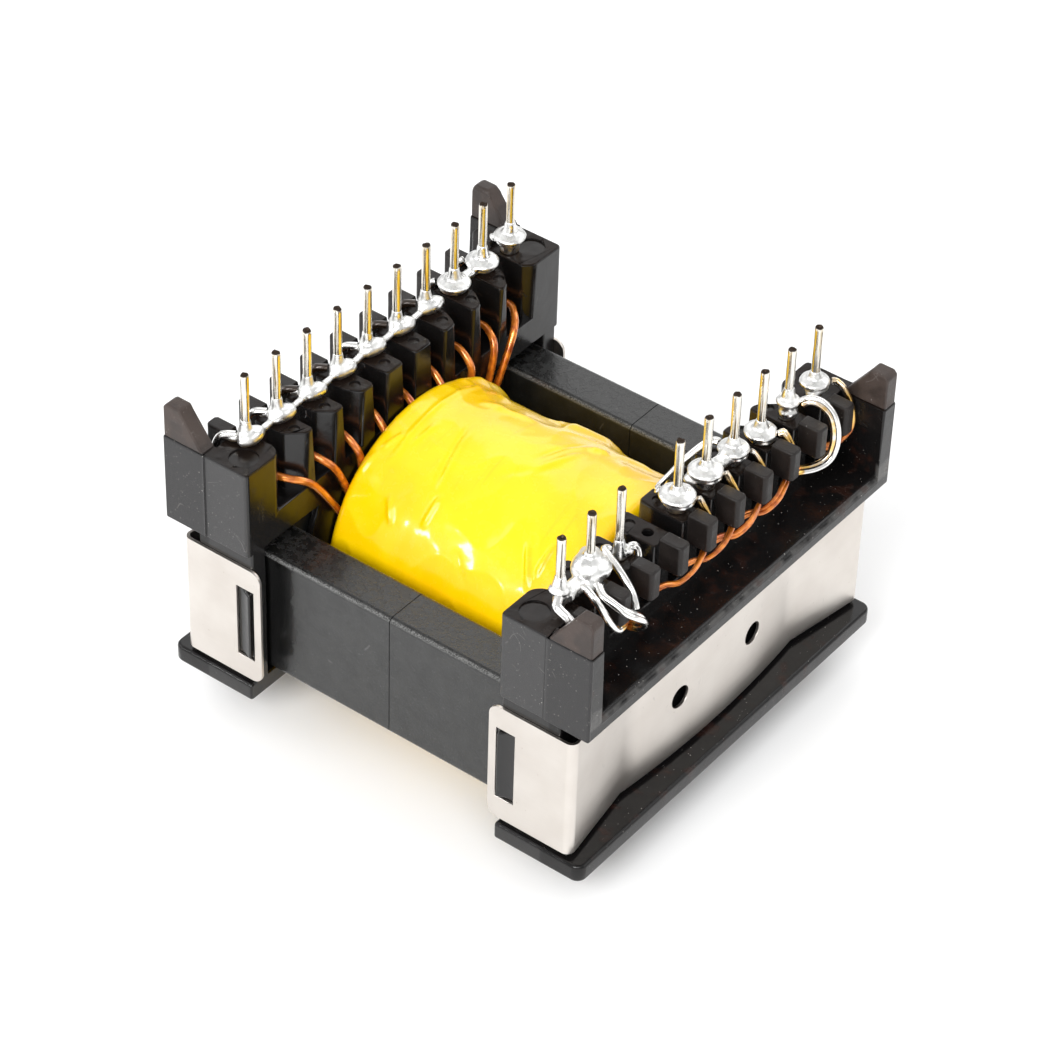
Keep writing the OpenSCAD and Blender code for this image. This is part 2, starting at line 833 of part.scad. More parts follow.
loop_19 = [
    [23, 15.2, 31.8], [24.4, 15.9, 32.2], [25.4, 17.6, 32.2], [26, 19, 32.8], [26.2, 19.7, 34.4],
    [26, 19.9, 36.4], [25.2, 19.8, 38.2], [24, 19.4, 39.2], [23, 18.8, 39.4]
];
loop_20 = [
    [23, 20.4, 31.8], [24.4, 21.2, 32.3], [25, 22.6, 32.5], [25.2, 24.1, 33], [25.2, 24.6, 34.4],
    [24.8, 24.6, 36.2], [23.8, 24.6, 37.8], [22.8, 24.5, 38.4]
];
route_12_13 = [
    [20.4, -13.7, 38.2], [20.3, -14.3, 38.5], [21, -14.8, 38.5], [23.2, -15.6, 38], [25, -16.1, 36.9],
    [25.8, -16.4, 35.8], [26.1, -16.5, 35.1]
];
route_15_17 = [
    [18.4, -2.6, 38], [17.8, -0.8, 37.6], [17.6, 2.4, 37.8], [17.6, 5, 37.9], [17.8, 7, 38],
    [18.4, 7.7, 38.3]
];
module loop(y0, ys, z, route, d, end) {
    e = at_disc(1, end, route[len(route) - 1]);
    color("#d6cfc6")
        wire(concat(off_winding(1, d, y0, ys, z), route, [e]), d);
}
module lead_11() {
    loop(-12.6, slot_y(1), slot_run_z, loop_11, loop_d, near_discs[0]);
}
module lead_12() {
    loop(-10.8, slot_y(2), slot_run_z - 0.4, loop_12, loop_d, near_discs[1]);
}
module lead_13() {
    loop(-5, slot_y(3), slot_run_z + 1.4, loop_13, strand_d, near_discs[2]);
}
module lead_19() {
    loop(9.6, slot_y(8), slot_run_z, loop_19, loop_d, far_discs[1]);
}
module lead_20() {
    loop(12.3, slot_y(9), slot_run_z, loop_20, loop_d - 0.1, far_discs[2]);
}
module strand_11_12() {
    color("#d6cfc6")
        wire(concat(off_winding(1, strand_d, -8.7, slot_y(2), slot_run_z + 1.4), route_11_12), strand_d);
}
module strand_12_13() {
    color("#d6cfc6")
        wire(route_12_13, strand_d);
}
module strand_15_17() {
    a = at_disc(1, middle_discs[0], route_15_17[0]);
    b = at_disc(1, middle_discs[2], route_15_17[len(route_15_17) - 1]);
    color("#d6cfc6")
        wire(concat([a], route_15_17, [b]), strand_d);
}

coil_former();
core_half_left();
core_half_right();
clip_left();
clip_right();
inner_primary_winding();
inner_insulation();
secondary_winding();
outer_insulation();
outer_primary_winding();
outer_tape();
pin(-1, 1);  // pin_01
pin(-1, 2);  // pin_02
pin(-1, 3);  // pin_03
pin(-1, 4);  // pin_04
pin(-1, 5);  // pin_05
pin(-1, 6);  // pin_06
pin(-1, 7);  // pin_07
pin(-1, 8);  // pin_08
pin(-1, 9);  // pin_09
pin(-1, 10);  // pin_10
pin(1, 1);  // pin_11
pin(1, 2);  // pin_12
pin(1, 3);  // pin_13
pin(1, 5);  // pin_15
pin(1, 6);  // pin_16
pin(1, 7);  // pin_17
pin(1, 8);  // pin_18
pin(1, 9);  // pin_19
pin(1, 10);  // pin_20
lead_left(1);  // lead_01
lead_left(2);  // lead_02
lead_left(3);  // lead_03
lead_left(4);  // lead_04
lead_left(5);  // lead_05
lead_left(6);  // lead_06
lead_left(7);  // lead_07
lead_left(8);  // lead_08
lead_left(9);  // lead_09
lead_11();
lead_12();
lead_13();
lead_right(5);  // lead_15
lead_right(6);  // lead_16
lead_right(7);  // lead_17
lead_right(8);  // lead_18
lead_19();
lead_20();
strand_11_12();
strand_12_13();
strand_15_17();
solder_left_bus();
solder_left_end();
solder_right_near();
solder_right_middle();
solder_right_far();
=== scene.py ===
import math

import bmesh
import bpy
from mathutils import Matrix, Vector, noise


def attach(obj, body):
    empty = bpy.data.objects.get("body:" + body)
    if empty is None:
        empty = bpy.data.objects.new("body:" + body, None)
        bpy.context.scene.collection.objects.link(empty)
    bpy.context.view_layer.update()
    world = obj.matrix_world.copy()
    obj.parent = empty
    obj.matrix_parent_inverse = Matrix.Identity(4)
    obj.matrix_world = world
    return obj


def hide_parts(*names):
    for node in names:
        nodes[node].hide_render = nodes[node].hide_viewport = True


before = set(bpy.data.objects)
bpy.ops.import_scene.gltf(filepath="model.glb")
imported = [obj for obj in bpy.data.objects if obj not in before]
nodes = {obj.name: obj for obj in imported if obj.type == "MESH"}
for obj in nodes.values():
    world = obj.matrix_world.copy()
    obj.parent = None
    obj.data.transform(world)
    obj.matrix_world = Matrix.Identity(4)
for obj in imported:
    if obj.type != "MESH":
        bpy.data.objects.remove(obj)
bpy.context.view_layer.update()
scene = bpy.context.scene
mm = 0.001
print("frame loaded,", len(nodes), "nodes")

# camera, fitted to the pins and edges of the photo, in millimetres and degrees
cameraSet = {
    "place": (194.395, -262.871, 293.017), "azimuth": 36.465, "elevation": 39.751, "roll": 1.929,
    "lens": 130.79, "sensor": 36,
}


def placeCamera():
    turn, rise, roll = (math.radians(cameraSet[k]) for k in ("azimuth", "elevation", "roll"))
    back = Vector((math.sin(turn) * math.cos(rise), -math.cos(turn) * math.cos(rise), math.sin(rise)))
    side = Vector((math.cos(turn), math.sin(turn), 0))
    up = back.cross(side)
    axisX = side * math.cos(roll) + up * math.sin(roll)
    axisY = up * math.cos(roll) - side * math.sin(roll)
    data = bpy.data.cameras.new("photoCamera")
    data.lens = cameraSet["lens"]
    data.sensor_width = cameraSet["sensor"]
    data.clip_end = 20
    camera = bpy.data.objects.new("photoCamera", data)
    scene.collection.objects.link(camera)
    pose = Matrix((axisX, axisY, back)).transposed().to_4x4()
    pose.translation = Vector(cameraSet["place"]) * mm
    camera.matrix_world = pose
    scene.camera = camera


placeCamera()

# shader helpers


def addNode(tree, kind, settings=None, inputs=None):
    node = tree.nodes.new("ShaderNode" + kind)
    for key, value in (settings or {}).items():
        setattr(node, key, value)
    for key, value in (inputs or {}).items():
        if isinstance(value, bpy.types.NodeSocket):
            tree.links.new(value, node.inputs[key])
        else:
            node.inputs[key].default_value = value
    return node


def math2(tree, operation, a, b=0.0, clamp=False):
    node = addNode(tree, "Math", {"operation": operation, "use_clamp": clamp})
    for k, value in enumerate((a, b)):
        if isinstance(value, bpy.types.NodeSocket):
            tree.links.new(value, node.inputs[k])
        else:
            node.inputs[k].default_value = value
    return node.outputs[0]


def times(tree, first, *others):
    for other in others:
        first = math2(tree, "MULTIPLY", first, other)
    return first


def plus(tree, first, *others):
    for other in others:
        first = math2(tree, "ADD", first, other)
    return first


def band(tree, value, low, high, toLow=0.0, toHigh=1.0):  # smooth rise from low to high
    inputs = {"Value": value, "From Min": low, "From Max": high, "To Min": toLow, "To Max": toHigh}
    return addNode(tree, "MapRange", {"interpolation_type": "SMOOTHSTEP"}, inputs).outputs["Result"]


def mixValue(tree, share, a, b):
    return addNode(tree, "Mix", None, {"Factor": share, "A": a, "B": b}).outputs[0]


def mixColour(tree, share, a, b):
    node = addNode(tree, "Mix", {"data_type": "RGBA"})
    for k, value in ((0, share), (6, a), (7, b)):  # the colour sockets come after those of other types
        if isinstance(value, bpy.types.NodeSocket):
            tree.links.new(value, node.inputs[k])
        else:
            node.inputs[k].default_value = (*value, 1) if k else value
    return node.outputs[2]


def ramp(tree, value, stops):
    node = addNode(tree, "ValToRGB", None, {"Fac": value})
    while len(node.color_ramp.elements) < len(stops):
        node.color_ramp.elements.new(0.5)
    for element, (place, colour) in zip(node.color_ramp.elements, stops):
        element.position = place
        element.color = (*colour, 1)
    return node.outputs["Color"]


def newMaterial(name, **values):
    material = bpy.data.materials.new(name)
    material.use_nodes = True
    tree = material.node_tree
    shader = tree.nodes["Principled BSDF"]
    for key, value in values.items():
        shader.inputs[key.replace("_", " ")].default_value = value
    return material, tree, shader


def plug(tree, shader, **sockets):
    for key, value in sockets.items():
        tree.links.new(value, shader.inputs[key.replace("_", " ")])


def bump(tree, shader, height, distance, strength=1.0):
    node = addNode(tree, "Bump", None, {"Height": height, "Distance": distance * mm, "Strength": strength})
    tree.links.new(node.outputs["Normal"], shader.inputs["Normal"])


def millimetres(tree):
    place = addNode(tree, "TexCoord")
    inputs = {"Vector": place.outputs["Object"], "Scale": 1000.0}
    scaled = addNode(tree, "VectorMath", {"operation": "SCALE"}, inputs)
    return scaled.outputs["Vector"], place.outputs["Normal"]


def split(tree, vector):
    return addNode(tree, "SeparateXYZ", None, {"Vector": vector}).outputs


def stretched(tree, place, scale, turn=(0, 0, 0)):
    return addNode(tree, "Mapping", None, {"Vector": place, "Rotation": turn, "Scale": scale}).outputs[0]


def noiseAt(tree, place, scale, detail, **more):
    inputs = {"Vector": place, "Scale": scale, "Detail": detail, **more}
    return addNode(tree, "TexNoise", None, inputs).outputs["Fac"]


def newGroup(name, inputs, outputs):
    group = bpy.data.node_groups.new(name, "ShaderNodeTree")
    for label, value in inputs.items():
        socket = group.interface.new_socket(name=label, in_out="INPUT", socket_type="NodeSocketFloat")
        socket.default_value = value
    for label in outputs:
        group.interface.new_socket(name=label, in_out="OUTPUT", socket_type="NodeSocketFloat")
    return group, group.nodes.new("NodeGroupInput"), group.nodes.new("NodeGroupOutput")


def useGroup(tree, group, **values):
    node = tree.nodes.new("ShaderNodeGroup")
    node.node_tree = group
    for key, value in values.items():
        node.inputs[key].default_value = value
    return node.outputs


# grain of a surface: fine and broad noise, sizes per millimetre
def grainGroup():
    group, enter, leave = newGroup("surfaceGrain", {"Fine": 6.0, "Broad": 0.3}, ("Fine", "Broad"))
    place, _ = millimetres(group)
    for label, detail in (("Fine", 4.0), ("Broad", 3.0)):
        group.links.new(noiseAt(group, place, enter.outputs[label], detail), leave.inputs[label])
    return group


# thin stray scratches: lines where a stretched noise crosses its middle, broken into short pieces
def scratchGroup():
    group, enter, leave = newGroup("strayScratches", {"Scale": 1.0, "Amount": 0.5}, ("Mask",))
    place, _ = millimetres(group)
    found = None
    for turn, scale in (((0.3, 0.5, 0.4), (0.16, 1.3, 0.16)), ((0.9, 0.1, 1.7), (0.14, 1.1, 0.14))):
        level = noiseAt(group, stretched(group, place, scale, turn), enter.outputs["Scale"], 1.5)
        away = math2(group, "ABSOLUTE", math2(group, "SUBTRACT", level, 0.5))
        line = math2(group, "MULTIPLY", math2(group, "SUBTRACT", 0.0045, away), 280.0, True)
        edge = math2(group, "SUBTRACT", 0.68, times(group, enter.outputs["Amount"], 0.16))
        above = math2(group, "SUBTRACT", noiseAt(group, place, 0.45, 2.0), edge)
        mask = times(group, line, math2(group, "MULTIPLY", above, 20.0, True))
        found = mask if found is None else math2(group, "MAXIMUM", found, mask)
    group.links.new(found, leave.inputs["Mask"])
    return group


# scattered specks of dust and flux
def speckGroup():
    group, enter, leave = newGroup("dustSpecks", {"Scale": 1.2, "Amount": 0.5, "Size": 0.12}, ("Mask",))
    place, _ = millimetres(group)
    inputs = {"Vector": place, "Scale": enter.outputs["Scale"], "Randomness": 1.0}
    cells = addNode(group, "TexVoronoi", None, inputs)
    pick = addNode(group, "TexWhiteNoise", None, {"Vector": cells.outputs["Position"]}).outputs["Value"]
    chosen = math2(group, "LESS_THAN", pick, enter.outputs["Amount"])
    near = math2(group, "LESS_THAN", cells.outputs["Distance"], times(group, enter.outputs["Size"], pick))
    group.links.new(times(group, chosen, near), leave.inputs["Mask"])
    return group


grain = grainGroup()
scratches = scratchGroup()
specks = speckGroup()

# materials

formerFinish = {
    "black": (0.0065, 0.006, 0.006), "peg": (0.016, 0.0125, 0.0112), "ear": (0.056, 0.041, 0.035),
    # rim: a painted highlight along the trough's rounded outer rim, partly wear
    "end": (0.028, 0.0274, 0.028), "rim": (0.075, 0.073, 0.07), "wet": (0.016, 0.009, 0.006),
    "stain": (0.035, 0.012, 0.007), "scratch": (0.34, 0.32, 0.3), "dust": (0.6, 0.57, 0.53), "seamX": 22.9,
}


def formerPlastic():
    look = formerFinish
    material, tree, shader = newMaterial("formerPlastic")
    place, normal = millimetres(tree)
    x, y, z = split(tree, place)[:]
    up = split(tree, normal)["Z"]
    absX, absY = math2(tree, "ABSOLUTE", x), math2(tree, "ABSOLUTE", y)
    noiseOut = useGroup(tree, grain, Fine=9.0, Broad=0.45)
    patch = band(tree, noiseOut["Broad"], 0.36, 0.62, 0.55, 1.0)
    # parts of the moulding, by their place in millimetres
    topMask = times(tree, band(tree, z, 36.4, 36.7), band(tree, up, 0.5, 0.85))
    earMask = times(tree, band(tree, z, 36.82, 36.95), band(tree, absY, 25.1, 25.25))
    pegMask = times(tree, band(tree, absX, 23.05, 23.25), band(tree, z, 33.3, 33.6),
                    band(tree, absY, 25.2, 25.35, 1.0, 0.0))
    dull = math2(tree, "MAXIMUM", earMask, pegMask)
    matte, earPatch = times(tree, dull, patch), times(tree, earMask, patch)
    wet = times(tree, topMask, math2(tree, "SUBTRACT", 1.0, dull))
    # painted highlight: the outer rim of the trough painted lighter along its rounded edge, partly wear
    rim = times(tree, band(tree, absX, 28.2, 28.6), band(tree, z, 26.6, 27.2),
                band(tree, z, 29.0, 29.6, 1.0, 0.0), band(tree, noiseOut["Broad"], 0.35, 0.6))
    endMask = times(tree, band(tree, absY, 27.2, 27.35), band(tree, z, 36.8, 36.9, 1.0, 0.0),
                    band(tree, z, 25.0, 25.4))
    floorMask = times(tree, band(tree, absX, 23.0, 23.2), band(tree, z, 33.0, 33.3, 1.0, 0.0),
                      band(tree, absY, 27.2, 27.35, 1.0, 0.0))
    stain = times(tree, floorMask, band(tree, noiseOut["Broad"], 0.55, 0.7))
    nearSeam = math2(tree, "ABSOLUTE", math2(tree, "SUBTRACT", absX, look["seamX"]))
    seam = times(tree, band(tree, nearSeam, 0.03, 0.12, 1.0, 0.0), endMask)
    # scratches, dust, and grit along the seam
    marks = useGroup(tree, scratches, Scale=0.9, Amount=0.55)["Mask"]
    wear = plus(tree, times(tree, math2(tree, "MAXIMUM", earPatch, endMask), 0.14), 0.03)
    dust = useGroup(tree, specks, Scale=1.7, Amount=0.5, Size=0.2)["Mask"]
    dust = math2(tree, "MAXIMUM", dust, useGroup(tree, specks, Scale=3.3, Amount=0.35, Size=0.34)["Mask"])
    dusty = math2(tree, "MAXIMUM", times(tree, matte, 0.6), floorMask)
    grit = useGroup(tree, specks, Scale=2.9, Amount=0.5, Size=0.5)["Mask"]
    grit = times(tree, grit, endMask, band(tree, nearSeam, 0.1, 1.2, 0.55, 0.16))
    dirty = math2(tree, "MAXIMUM", times(tree, dust, dusty, 0.8), grit)
    colour = mixColour(tree, times(tree, pegMask, patch), look["black"], look["peg"])
    for share, layer in (
        (earPatch, "ear"), (times(tree, wet, noiseOut["Broad"]), "wet"), (rim, "rim"), (endMask, "end"),
        (times(tree, stain, 0.5), "stain"), (times(tree, marks, wear), "scratch"), (dirty, "dust"),
        (times(tree, seam, 0.8), "black"),
    ):
        colour = mixColour(tree, share, colour, look[layer])
    rough = mixValue(tree, matte, band(tree, noiseOut["Broad"], 0.3, 0.7, 0.1, 0.22), 0.46)
    rough = mixValue(tree, endMask, rough, 0.44)
    gloss = math2(tree, "SUBTRACT", band(tree, absX, 23.0, 23.4, 0.5, 0.3), times(tree, wet, 0.36))
    plug(tree, shader, Base_Color=colour, Roughness=rough, Specular_IOR_Level=gloss)
    coarse = plus(tree, times(tree, math2(tree, "MAXIMUM", matte, endMask), 0.9), 0.2)
    runs = noiseAt(tree, place, 0.6, 0.6, Distortion=0.3)
    height = plus(tree, times(tree, noiseOut["Fine"], coarse), times(tree, noiseOut["Broad"], 0.8),
                  times(tree, wet, runs, 3.4), times(tree, dirty, 1.5))
    height = math2(tree, "SUBTRACT", height, plus(tree, times(tree, marks, 0.4), seam))
    bump(tree, shader, height, 0.06, 0.9)
    return material


ferriteFinish = {
    "dark": (0.008, 0.0085, 0.0083), "pale": (0.0165, 0.017, 0.0165), "scratch": (0.2, 0.2, 0.2),
    # mottle darkens the top faces and the near left end as painted shade
    "grit": (0.14, 0.14, 0.135), "mottleShade": (0.0045, 0.0045, 0.0042), "clipShade": (0.0035, 0.0035, 0.0035),
    # edge: a painted highlight on the rounded upper edges
    "edge": (0.15, 0.15, 0.145),
}


def ferriteVarnish():
    look = ferriteFinish
    material, tree, shader = newMaterial("ferriteVarnish", Specular_IOR_Level=0.4, Coat_Weight=0.35,
                                         Coat_Roughness=0.14)
    place, normal = millimetres(tree)
    x, y, _ = split(tree, place)[:]
    up = split(tree, normal)["Z"]
    noiseOut = useGroup(tree, grain, Fine=7.0, Broad=0.5)
    marks = useGroup(tree, scratches, Scale=0.5, Amount=0.25)["Mask"]
    pits = useGroup(tree, specks, Scale=0.9, Amount=0.7, Size=0.3)["Mask"]
    grit = useGroup(tree, specks, Scale=4.2, Amount=0.5, Size=0.5)["Mask"]
    blotch = noiseAt(tree, place, 1.1, 4.0, Roughness=0.65)
    # painted shade: up-facing faces darkened in mottled patches, partly varnish mottle
    shadedMottle = times(tree, band(tree, up, 0.4, 0.8), band(tree, blotch, 0.38, 0.56))
    # painted shade: a darker, glossier patch with a ragged edge over the near left end beside the clip; upper
    # edges painted pale as a highlight
    ragged = plus(tree, x, times(tree, plus(tree, noiseOut["Broad"], blotch), 2.0))
    clipShade = times(tree, band(tree, ragged, -11.5, -11.2, 1.0, 0.0), band(tree, y, -24.0, -23.8, 1.0, 0.0))
    # painted highlight: the rounded upper edges painted pale, flecked by fine noise
    edge = times(tree, band(tree, up, 0.2, 0.45), band(tree, up, 0.75, 0.93, 1.0, 0.0),
                 band(tree, noiseOut["Fine"], 0.4, 0.6, 0.1, 0.8))
    colour = ramp(tree, noiseOut["Broad"], [(0.3, look["dark"]), (0.7, look["pale"])])
    for share, layer in (
        (times(tree, marks, 0.2), "scratch"), (times(tree, grit, 0.35), "grit"), (shadedMottle, "mottleShade"),
        (clipShade, "clipShade"), (edge, "edge"),
    ):
        colour = mixColour(tree, share, colour, look[layer])
    rough = mixValue(tree, shadedMottle, band(tree, noiseOut["Fine"], 0.3, 0.7, 0.3, 0.46), 0.24)
    plug(tree, shader, Base_Color=colour, Roughness=mixValue(tree, clipShade, rough, 0.2))
    height = plus(tree, times(tree, noiseOut["Fine"], 0.6), times(tree, noiseOut["Broad"], 0.5))
    height = math2(tree, "SUBTRACT", height, times(tree, pits, 1.2))
    bump(tree, shader, plus(tree, height, times(tree, shadedMottle, 0.45)), 0.07, 0.8)
    return material


steelFinish = {
    "dark": (0.63, 0.585, 0.54), "pale": (0.71, 0.67, 0.625),
    "scratch": (0.42, 0.4, 0.38), "spot": (0.4, 0.34, 0.28),
}


def springSteel():
    look = steelFinish
    material, tree, shader = newMaterial("springSteel", Metallic=1.0, Anisotropic=0.3)
    place, _ = millimetres(tree)
    lines = noiseAt(tree, stretched(tree, place, (0.06, 0.06, 9.0)), 1.4, 5.0)  # rolling marks
    noiseOut = useGroup(tree, grain, Fine=3.0, Broad=0.16)
    marks = useGroup(tree, scratches, Scale=0.4, Amount=0.3)["Mask"]
    spots = useGroup(tree, specks, Scale=0.9, Amount=0.5, Size=0.2)["Mask"]
    colour = ramp(tree, noiseOut["Broad"], [(0.3, look["dark"]), (0.7, look["pale"])])
    colour = mixColour(tree, times(tree, marks, 0.4), colour, look["scratch"])
    colour = mixColour(tree, times(tree, spots, 0.3), colour, look["spot"])
    rough = plus(tree, band(tree, lines, 0.3, 0.7, 0.26, 0.36), times(tree, noiseOut["Broad"], 0.08))
    plug(tree, shader, Base_Color=colour, Roughness=rough)
    bump(tree, shader, lines, 0.012, 0.5)
    return material


filmFinish = {"deep": (1.0, 0.56, 0.0), "bright": (1.0, 0.645, 0.0), "line": (0.8, 0.44, 0.0)}


def tapeFilm():
    look = filmFinish
    material, tree, shader = newMaterial("tapeFilm", Specular_IOR_Level=0.4, Coat_Weight=0.4,
                                         Coat_Roughness=0.05)
    place, _ = millimetres(tree)
    noiseOut = useGroup(tree, grain, Fine=1.1, Broad=0.11)
    lines = noiseAt(tree, stretched(tree, place, (1.6, 0.12, 0.12)), 0.8, 2.0)  # lines around the coil
    colour = ramp(tree, noiseOut["Broad"], [(0.32, look["deep"]), (0.6, look["bright"])])
    colour = mixColour(tree, band(tree, lines, 0.62, 0.75, 0.0, 0.3), colour, look["line"])
    plug(tree, shader, Base_Color=colour, Roughness=band(tree, noiseOut["Fine"], 0.3, 0.7, 0.2, 0.3))
    bump(tree, shader, plus(tree, times(tree, lines, 0.8), times(tree, noiseOut["Fine"], 0.35)), 0.05, 0.4)
    return material


copperFinish = {"dark": (0.42, 0.15, 0.045), "bright": (0.62, 0.25, 0.08), "turns": 3.5}


def windingCopper():
    look = copperFinish
    material, tree, shader = newMaterial("windingCopper", Metallic=0.85, Coat_Weight=0.5, Coat_Roughness=0.15)
    place, _ = millimetres(tree)
    turns = math2(tree, "SINE", times(tree, split(tree, place)["X"], look["turns"]))
    noiseOut = useGroup(tree, grain, Fine=4.0, Broad=0.5)
    colour = ramp(tree, noiseOut["Broad"], [(0.3, look["dark"]), (0.7, look["bright"])])
    plug(tree, shader, Base_Color=colour, Roughness=band(tree, noiseOut["Fine"], 0.3, 0.7, 0.25, 0.4))
    bump(tree, shader, math2(tree, "ABSOLUTE", turns), 0.25, 1.0)
    return material


wireFinish = {
    "dark": (0.4, 0.075, 0.007), "bright": (0.95, 0.3, 0.03), "golden": (0.86, 0.53, 0.14),
    "tinned": (0.93, 0.92, 0.9), "burnt": (0.03, 0.018, 0.012),
}


# enamelled wire that turns golden and then tinned along the tin attribute, or burnt where it is negative
def leadWire():
    look = wireFinish
    material, tree, shader = newMaterial("leadWire", Coat_Weight=0.9, Coat_Roughness=0.06)
    tin = addNode(tree, "Attribute", {"attribute_name": "tin"}).outputs["Fac"]
    noiseOut = useGroup(tree, grain, Fine=5.0, Broad=1.1)
    shifted = plus(tree, tin, times(tree, math2(tree, "SUBTRACT", noiseOut["Broad"], 0.5), 0.35))
    colour = ramp(tree, noiseOut["Broad"], [(0.3, look["dark"]), (0.7, look["bright"])])
    colour = mixColour(tree, band(tree, shifted, 0.15, 0.4), colour, look["golden"])
    colour = mixColour(tree, band(tree, shifted, 0.5, 0.7), colour, look["tinned"])
    colour = mixColour(tree, band(tree, shifted, -0.7, -0.4, 1.0, 0.0), colour, look["burnt"])
    plug(tree, shader, Base_Color=colour, Roughness=band(tree, noiseOut["Fine"], 0.3, 0.7, 0.14, 0.26),
         Metallic=band(tree, tin, 0.0, 0.5, 0.55, 1.0))
    bump(tree, shader, noiseOut["Fine"], 0.02, 0.35)
    return material


solderFinish = {"dark": (0.78, 0.78, 0.765), "bright": (0.94, 0.94, 0.925), "flux": (0.5, 0.3, 0.07)}


def solderTin():
    look = solderFinish
    material, tree, shader = newMaterial("solderTin", Metallic=1.0)
    place, normal = millimetres(tree)
    noiseOut = useGroup(tree, grain, Fine=3.2, Broad=0.7)
    flux = times(tree, band(tree, split(tree, place)["Z"], 37.1, 38.0, 1.0, 0.0),
                 band(tree, split(tree, normal)["Z"], -0.1, 0.5, 1.0, 0.0),
                 band(tree, noiseOut["Broad"], 0.4, 0.6))
    colour = ramp(tree, noiseOut["Fine"], [(0.3, look["dark"]), (0.65, look["bright"])])
    colour = mixColour(tree, times(tree, flux, 0.7), colour, look["flux"])
    plug(tree, shader, Base_Color=colour, Roughness=band(tree, noiseOut["Broad"], 0.35, 0.65, 0.24, 0.42))
    bump(tree, shader, noiseOut["Fine"], 0.03, 0.3)
    return material


pinFinish = {
    "tarnish": (0.5, 0.4, 0.24), "dull": (0.78, 0.74, 0.66), "bright": (0.88, 0.87, 0.84),
    "cut": (0.05, 0.036, 0.028),
}


def pinTin():
    look = pinFinish
    material, tree, shader = newMaterial("pinTin", Metallic=1.0)
    place, _ = millimetres(tree)
    cut = addNode(tree, "Attribute", {"attribute_name": "cut"}).outputs["Fac"]
    streak = noiseAt(tree, stretched(tree, place, (6.0, 6.0, 0.35)), 0.8, 3.0)
    noiseOut = useGroup(tree, grain, Fine=6.0, Broad=0.8)
    colour = ramp(tree, streak, [(0.32, look["tarnish"]), (0.45, look["dull"]), (0.7, look["bright"])])
    colour = mixColour(tree, band(tree, cut, 0.2, 0.6), colour, look["cut"])
    rough = plus(tree, band(tree, streak, 0.3, 0.7, 0.14, 0.3), times(tree, cut, 0.3))
    plug(tree, shader, Base_Color=colour, Roughness=rough)
    bump(tree, shader, plus(tree, streak, times(tree, noiseOut["Fine"], 0.4)), 0.03, 0.6)
    return material


plastic = formerPlastic()
ferrite = ferriteVarnish()
steel = springSteel()
film = tapeFilm()
coilCopper = windingCopper()
enamel = leadWire()
solder = solderTin()
pinMetal = pinTin()
print("materials made")

# mesh helpers


def finishPiece(name, bm, material, replaced, sharp=None):
    mesh = bpy.data.meshes.new(name)
    bm.to_mesh(mesh)
    bm.free()
    mesh.materials.append(material)
    mesh.shade_smooth()
    if sharp is not None:
        mesh.set_sharp_from_angle(angle=math.radians(sharp))
    piece = bpy.data.objects.new(name, mesh)
    scene.collection.objects.link(piece)
    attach(piece, "root")
    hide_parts(*replaced)
    return piece


def mergedCopy(node, level=None, cuts=()):  # one clean mesh from a node's loose triangles
    bm = bmesh.new()
    bm.from_mesh(nodes[node].data)
    bmesh.ops.remove_doubles(bm, verts=bm.verts[:], dist=0.002 * mm)
    for x in cuts:  # faces at the level are split through the middle of their round marks
        tops = [f for f in bm.faces if all(abs(v.co.z / mm - level) < 0.01 for v in f.verts)]
        geom = tops + list({e for f in tops for e in f.edges}) + list({v for f in tops for v in f.verts})
        cut = bmesh.ops.bisect_plane(bm, geom=geom, dist=0.0001 * mm, plane_co=(x * mm, 0, 0),
                                     plane_no=(1, 0, 0))["geom_cut"]
        for edge in (g for g in cut if isinstance(g, bmesh.types.BMEdge)):
            edge.seam = True
    bmesh.ops.dissolve_limit(bm, angle_limit=math.radians(0.4), verts=bm.verts[:], edges=bm.edges[:],
                             delimit={"SEAM"})
    return bm


def edgeDepth(edge):  # how far the narrower of its two faces reaches from an edge
    a, b = (v.co for v in edge.verts)
    along = (b - a).normalized()

    def reach(face):
        return max(((v.co - a) - along * (v.co - a).dot(along)).length for v in face.verts)

    return min(reach(f) for f in edge.link_faces)


def keepFlat(piece):  # large faces stay flat beside their rounded edges
    flat = piece.modifiers.new("flatFaces", "WEIGHTED_NORMAL")
    flat.weight = 90
    flat.keep_sharp = True


def roundEdges(bm, width, segments, least=28, chosen=None):
    bm.normal_update()
    edges = [
        e for e in bm.edges
        if len(e.link_faces) == 2 and e.is_convex and math.degrees(e.calc_face_angle(0.0)) > least
        and edgeDepth(e) > 2.1 * width * mm and (chosen is None or chosen(e))
    ]
    bmesh.ops.bevel(bm, geom=edges, offset=width * mm, offset_type="OFFSET", segments=segments, profile=0.5,
                    affect="EDGES", clamp_overlap=False, material=-1, loop_slide=False)
    return len(edges)


# coil former
formerSet = {
    "corner": 0.55, "cornerSteps": 4, "ear": 0.5, "lip": 0.42, "main": 0.26, "mainSteps": 3,
    "edge": 0.13, "edgeSteps": 2, "top": 36.8, "marks": (21.0, 19.5, 18.6),
    "blockFoot": 29.0, "endFoot": 25.0, "endY": 24.0, "blockX": 19.3, "earFoot": 37.5, "earY": 25.0,
    "lipFrom": 5.0, "lipTo": 7.4, "lipX": 18.5,
}


